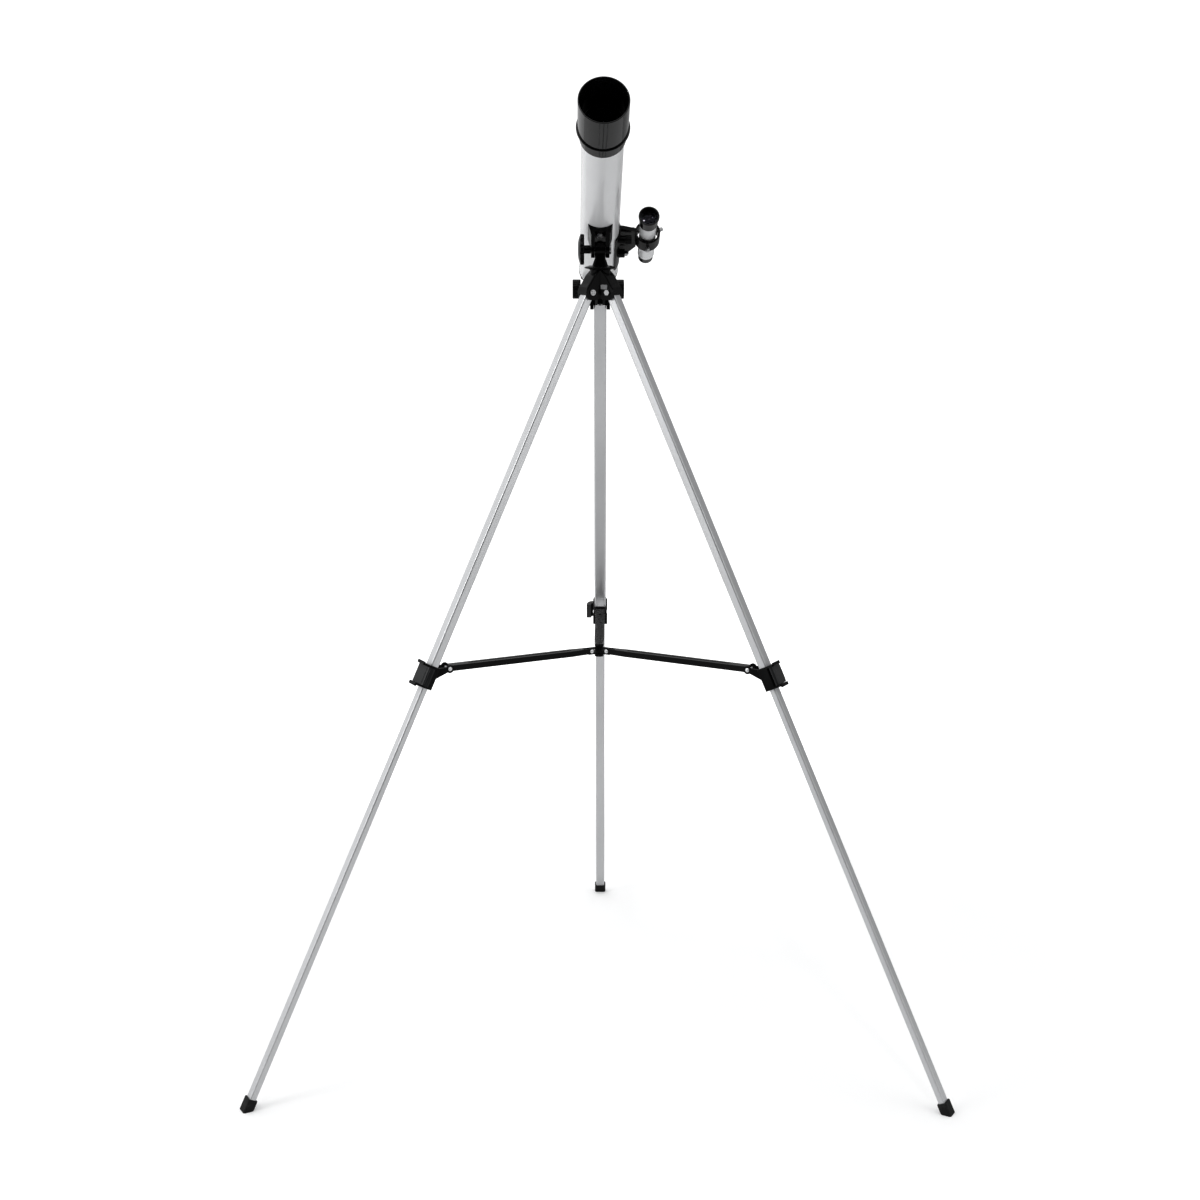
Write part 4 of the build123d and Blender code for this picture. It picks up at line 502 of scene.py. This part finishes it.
def smooth_rise(tree, source, start, end, low, high):
    """A soft step: source from start to end becomes low to high."""
    node = tree.nodes.new("ShaderNodeMapRange")
    node.interpolation_type = "SMOOTHSTEP"
    node.inputs["From Min"].default_value = start
    node.inputs["From Max"].default_value = end
    node.inputs["To Min"].default_value = low
    node.inputs["To Max"].default_value = high
    tree.links.new(source, node.inputs["Value"])
    return node.outputs["Result"]


def floor():
    """A pale disc that glows for the camera alone, up to white, so that only the feet's shadows show."""
    plane = bpy.data.meshes.new("floor")
    rim = []
    for step in range(FLOOR_CORNERS):
        turn = 2 * pi * step / FLOOR_CORNERS
        rim.append((FLOOR_REACH * cos(turn), FLOOR_REACH * sin(turn), 0))
    plane.from_pydata(rim, [], [tuple(range(FLOOR_CORNERS))])
    piece = bpy.data.objects.new("floor", plane)
    bpy.context.collection.objects.link(piece)
    finish = Finish("floor_paper", Roughness=0.7)
    finish.colour(finish.between(finish.noise(2.0), grey(0.66), grey(0.68)))
    finish.bump((finish.noise(300), 0.1, 0.0001))
    tree = finish.tree
    glow = tree.nodes.new("ShaderNodeEmission")
    place = tree.nodes.new("ShaderNodeTexCoord")
    away = tree.nodes.new("ShaderNodeVectorMath")
    away.operation = "LENGTH"
    tree.links.new(place.outputs["Object"], away.inputs[0])
    risen = smooth_rise(tree, away.outputs["Value"], GLOW_RISES_FROM, GLOW_RISES_TO, GLOW_NEAR, GLOW_FAR)
    tree.links.new(risen, glow.inputs["Strength"])
    path = tree.nodes.new("ShaderNodeLightPath")
    added = tree.nodes.new("ShaderNodeAddShader")
    blend = tree.nodes.new("ShaderNodeMixShader")
    output = tree.nodes["Material Output"]
    tree.links.new(finish.shader.outputs[0], added.inputs[0])
    tree.links.new(glow.outputs[0], added.inputs[1])
    tree.links.new(path.outputs["Is Camera Ray"], blend.inputs["Fac"])
    tree.links.new(finish.shader.outputs[0], blend.inputs[1])
    tree.links.new(added.outputs[0], blend.inputs[2])
    tree.links.new(blend.outputs[0], output.inputs["Surface"])
    plane.materials.append(finish.material)


def softbox(name, place, target, width, height, power):
    light = bpy.data.lights.new(name, "AREA")
    light.shape = "RECTANGLE"
    light.size = width
    light.size_y = height
    light.energy = power
    lamp = bpy.data.objects.new(name, light)
    lamp.location = place
    lamp.rotation_euler = (Vector(target) - Vector(place)).to_track_quat("-Z", "Y").to_euler()
    lamp.visible_camera = False
    bpy.context.collection.objects.link(lamp)


def surroundings(seen, beside, back_left, back_right, front):
    """White for the camera. What is lit or mirrored feels a room that is bright beside the camera, dark
    behind it and dimmer at the back, most of all on the right."""
    world = bpy.data.worlds.new("studio")
    bpy.context.scene.world = world
    world.use_nodes = True
    tree = world.node_tree
    shown = tree.nodes["Background"]
    shown.inputs["Color"].default_value = (1, 1, 1, 1)
    shown.inputs["Strength"].default_value = seen
    coordinates = tree.nodes.new("ShaderNodeTexCoord")
    split = tree.nodes.new("ShaderNodeSeparateXYZ")
    tree.links.new(coordinates.outputs["Generated"], split.inputs[0])
    level = tree.nodes.new("ShaderNodeMix")
    level.inputs["A"].default_value = beside
    rightward = split.outputs["X"]
    backward = split.outputs["Y"]
    tree.links.new(smooth_rise(tree, rightward, -0.6, 0.6, back_left, back_right), level.inputs["B"])
    tree.links.new(smooth_rise(tree, backward, -0.35, 0.3, 0.0, 1.0), level.inputs["Factor"])
    strength = tree.nodes.new("ShaderNodeMath")
    strength.operation = "MULTIPLY"
    tree.links.new(level.outputs["Result"], strength.inputs[0])
    tree.links.new(smooth_rise(tree, backward, -0.85, -0.5, front, 1.0), strength.inputs[1])
    room = tree.nodes.new("ShaderNodeBackground")
    room.inputs["Color"].default_value = (0.99, 0.995, 1.0, 1)
    tree.links.new(strength.outputs[0], room.inputs["Strength"])
    path = tree.nodes.new("ShaderNodeLightPath")
    blend = tree.nodes.new("ShaderNodeMixShader")
    tree.links.new(path.outputs["Is Camera Ray"], blend.inputs["Fac"])
    tree.links.new(room.outputs[0], blend.inputs[1])
    tree.links.new(shown.outputs[0], blend.inputs[2])
    tree.links.new(blend.outputs[0], tree.nodes["World Output"].inputs["Surface"])


floor()
surroundings(seen=1.1, beside=1.15, back_left=0.85, back_right=0.34, front=0.01)
half_way_up = Vector((0, TRIPOD.y, 0.8))
lens_low, lens_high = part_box("crown_lens")
lens_middle = (Vector(lens_low) + Vector(lens_high)) / 2
SPOT_DISTANCE = 2.4
SPOT_FROM = Vector((-0.1, -0.645, 0.762))
softbox("key", (-2.4, -1.6, 2.3), half_way_up, width=0.9, height=2.0, power=15)
softbox("overhead", (0, 0.4, 3.2), (0, -0.2, 0), width=3.0, height=3.0, power=30)
softbox("spot", lens_middle + SPOT_FROM * SPOT_DISTANCE, lens_middle, width=0.1, height=0.2, power=6)
view = bpy.context.scene.view_settings
view.view_transform = "Standard"
view.exposure = 0.12
view.gamma = 0.8

# ------------------------------------------------------------------ camera
FOCAL = 55.06
SENSOR = 36.0
CAMERA_ASIDE = 0.0143
CAMERA_DISTANCE = 2.716
CAMERA_HEIGHT = 1.272
CAMERA_DOWN = radians(12.1)
CAMERA_TURNED = radians(0.28)
CAMERA_ROLLED = radians(0.15)
lens = bpy.data.cameras.new("camera")
lens.lens = FOCAL
lens.sensor_width = SENSOR
camera = bpy.data.objects.new("camera", lens)
camera.location = (CAMERA_ASIDE, TRIPOD.y - CAMERA_DISTANCE, CAMERA_HEIGHT)
aimed = Matrix.Rotation(CAMERA_TURNED, 3, "Z") @ Matrix.Rotation(pi / 2 - CAMERA_DOWN, 3, "X")
camera.rotation_euler = (aimed @ Matrix.Rotation(CAMERA_ROLLED, 3, "Z")).to_euler()
bpy.context.collection.objects.link(camera)
bpy.context.scene.camera = camera
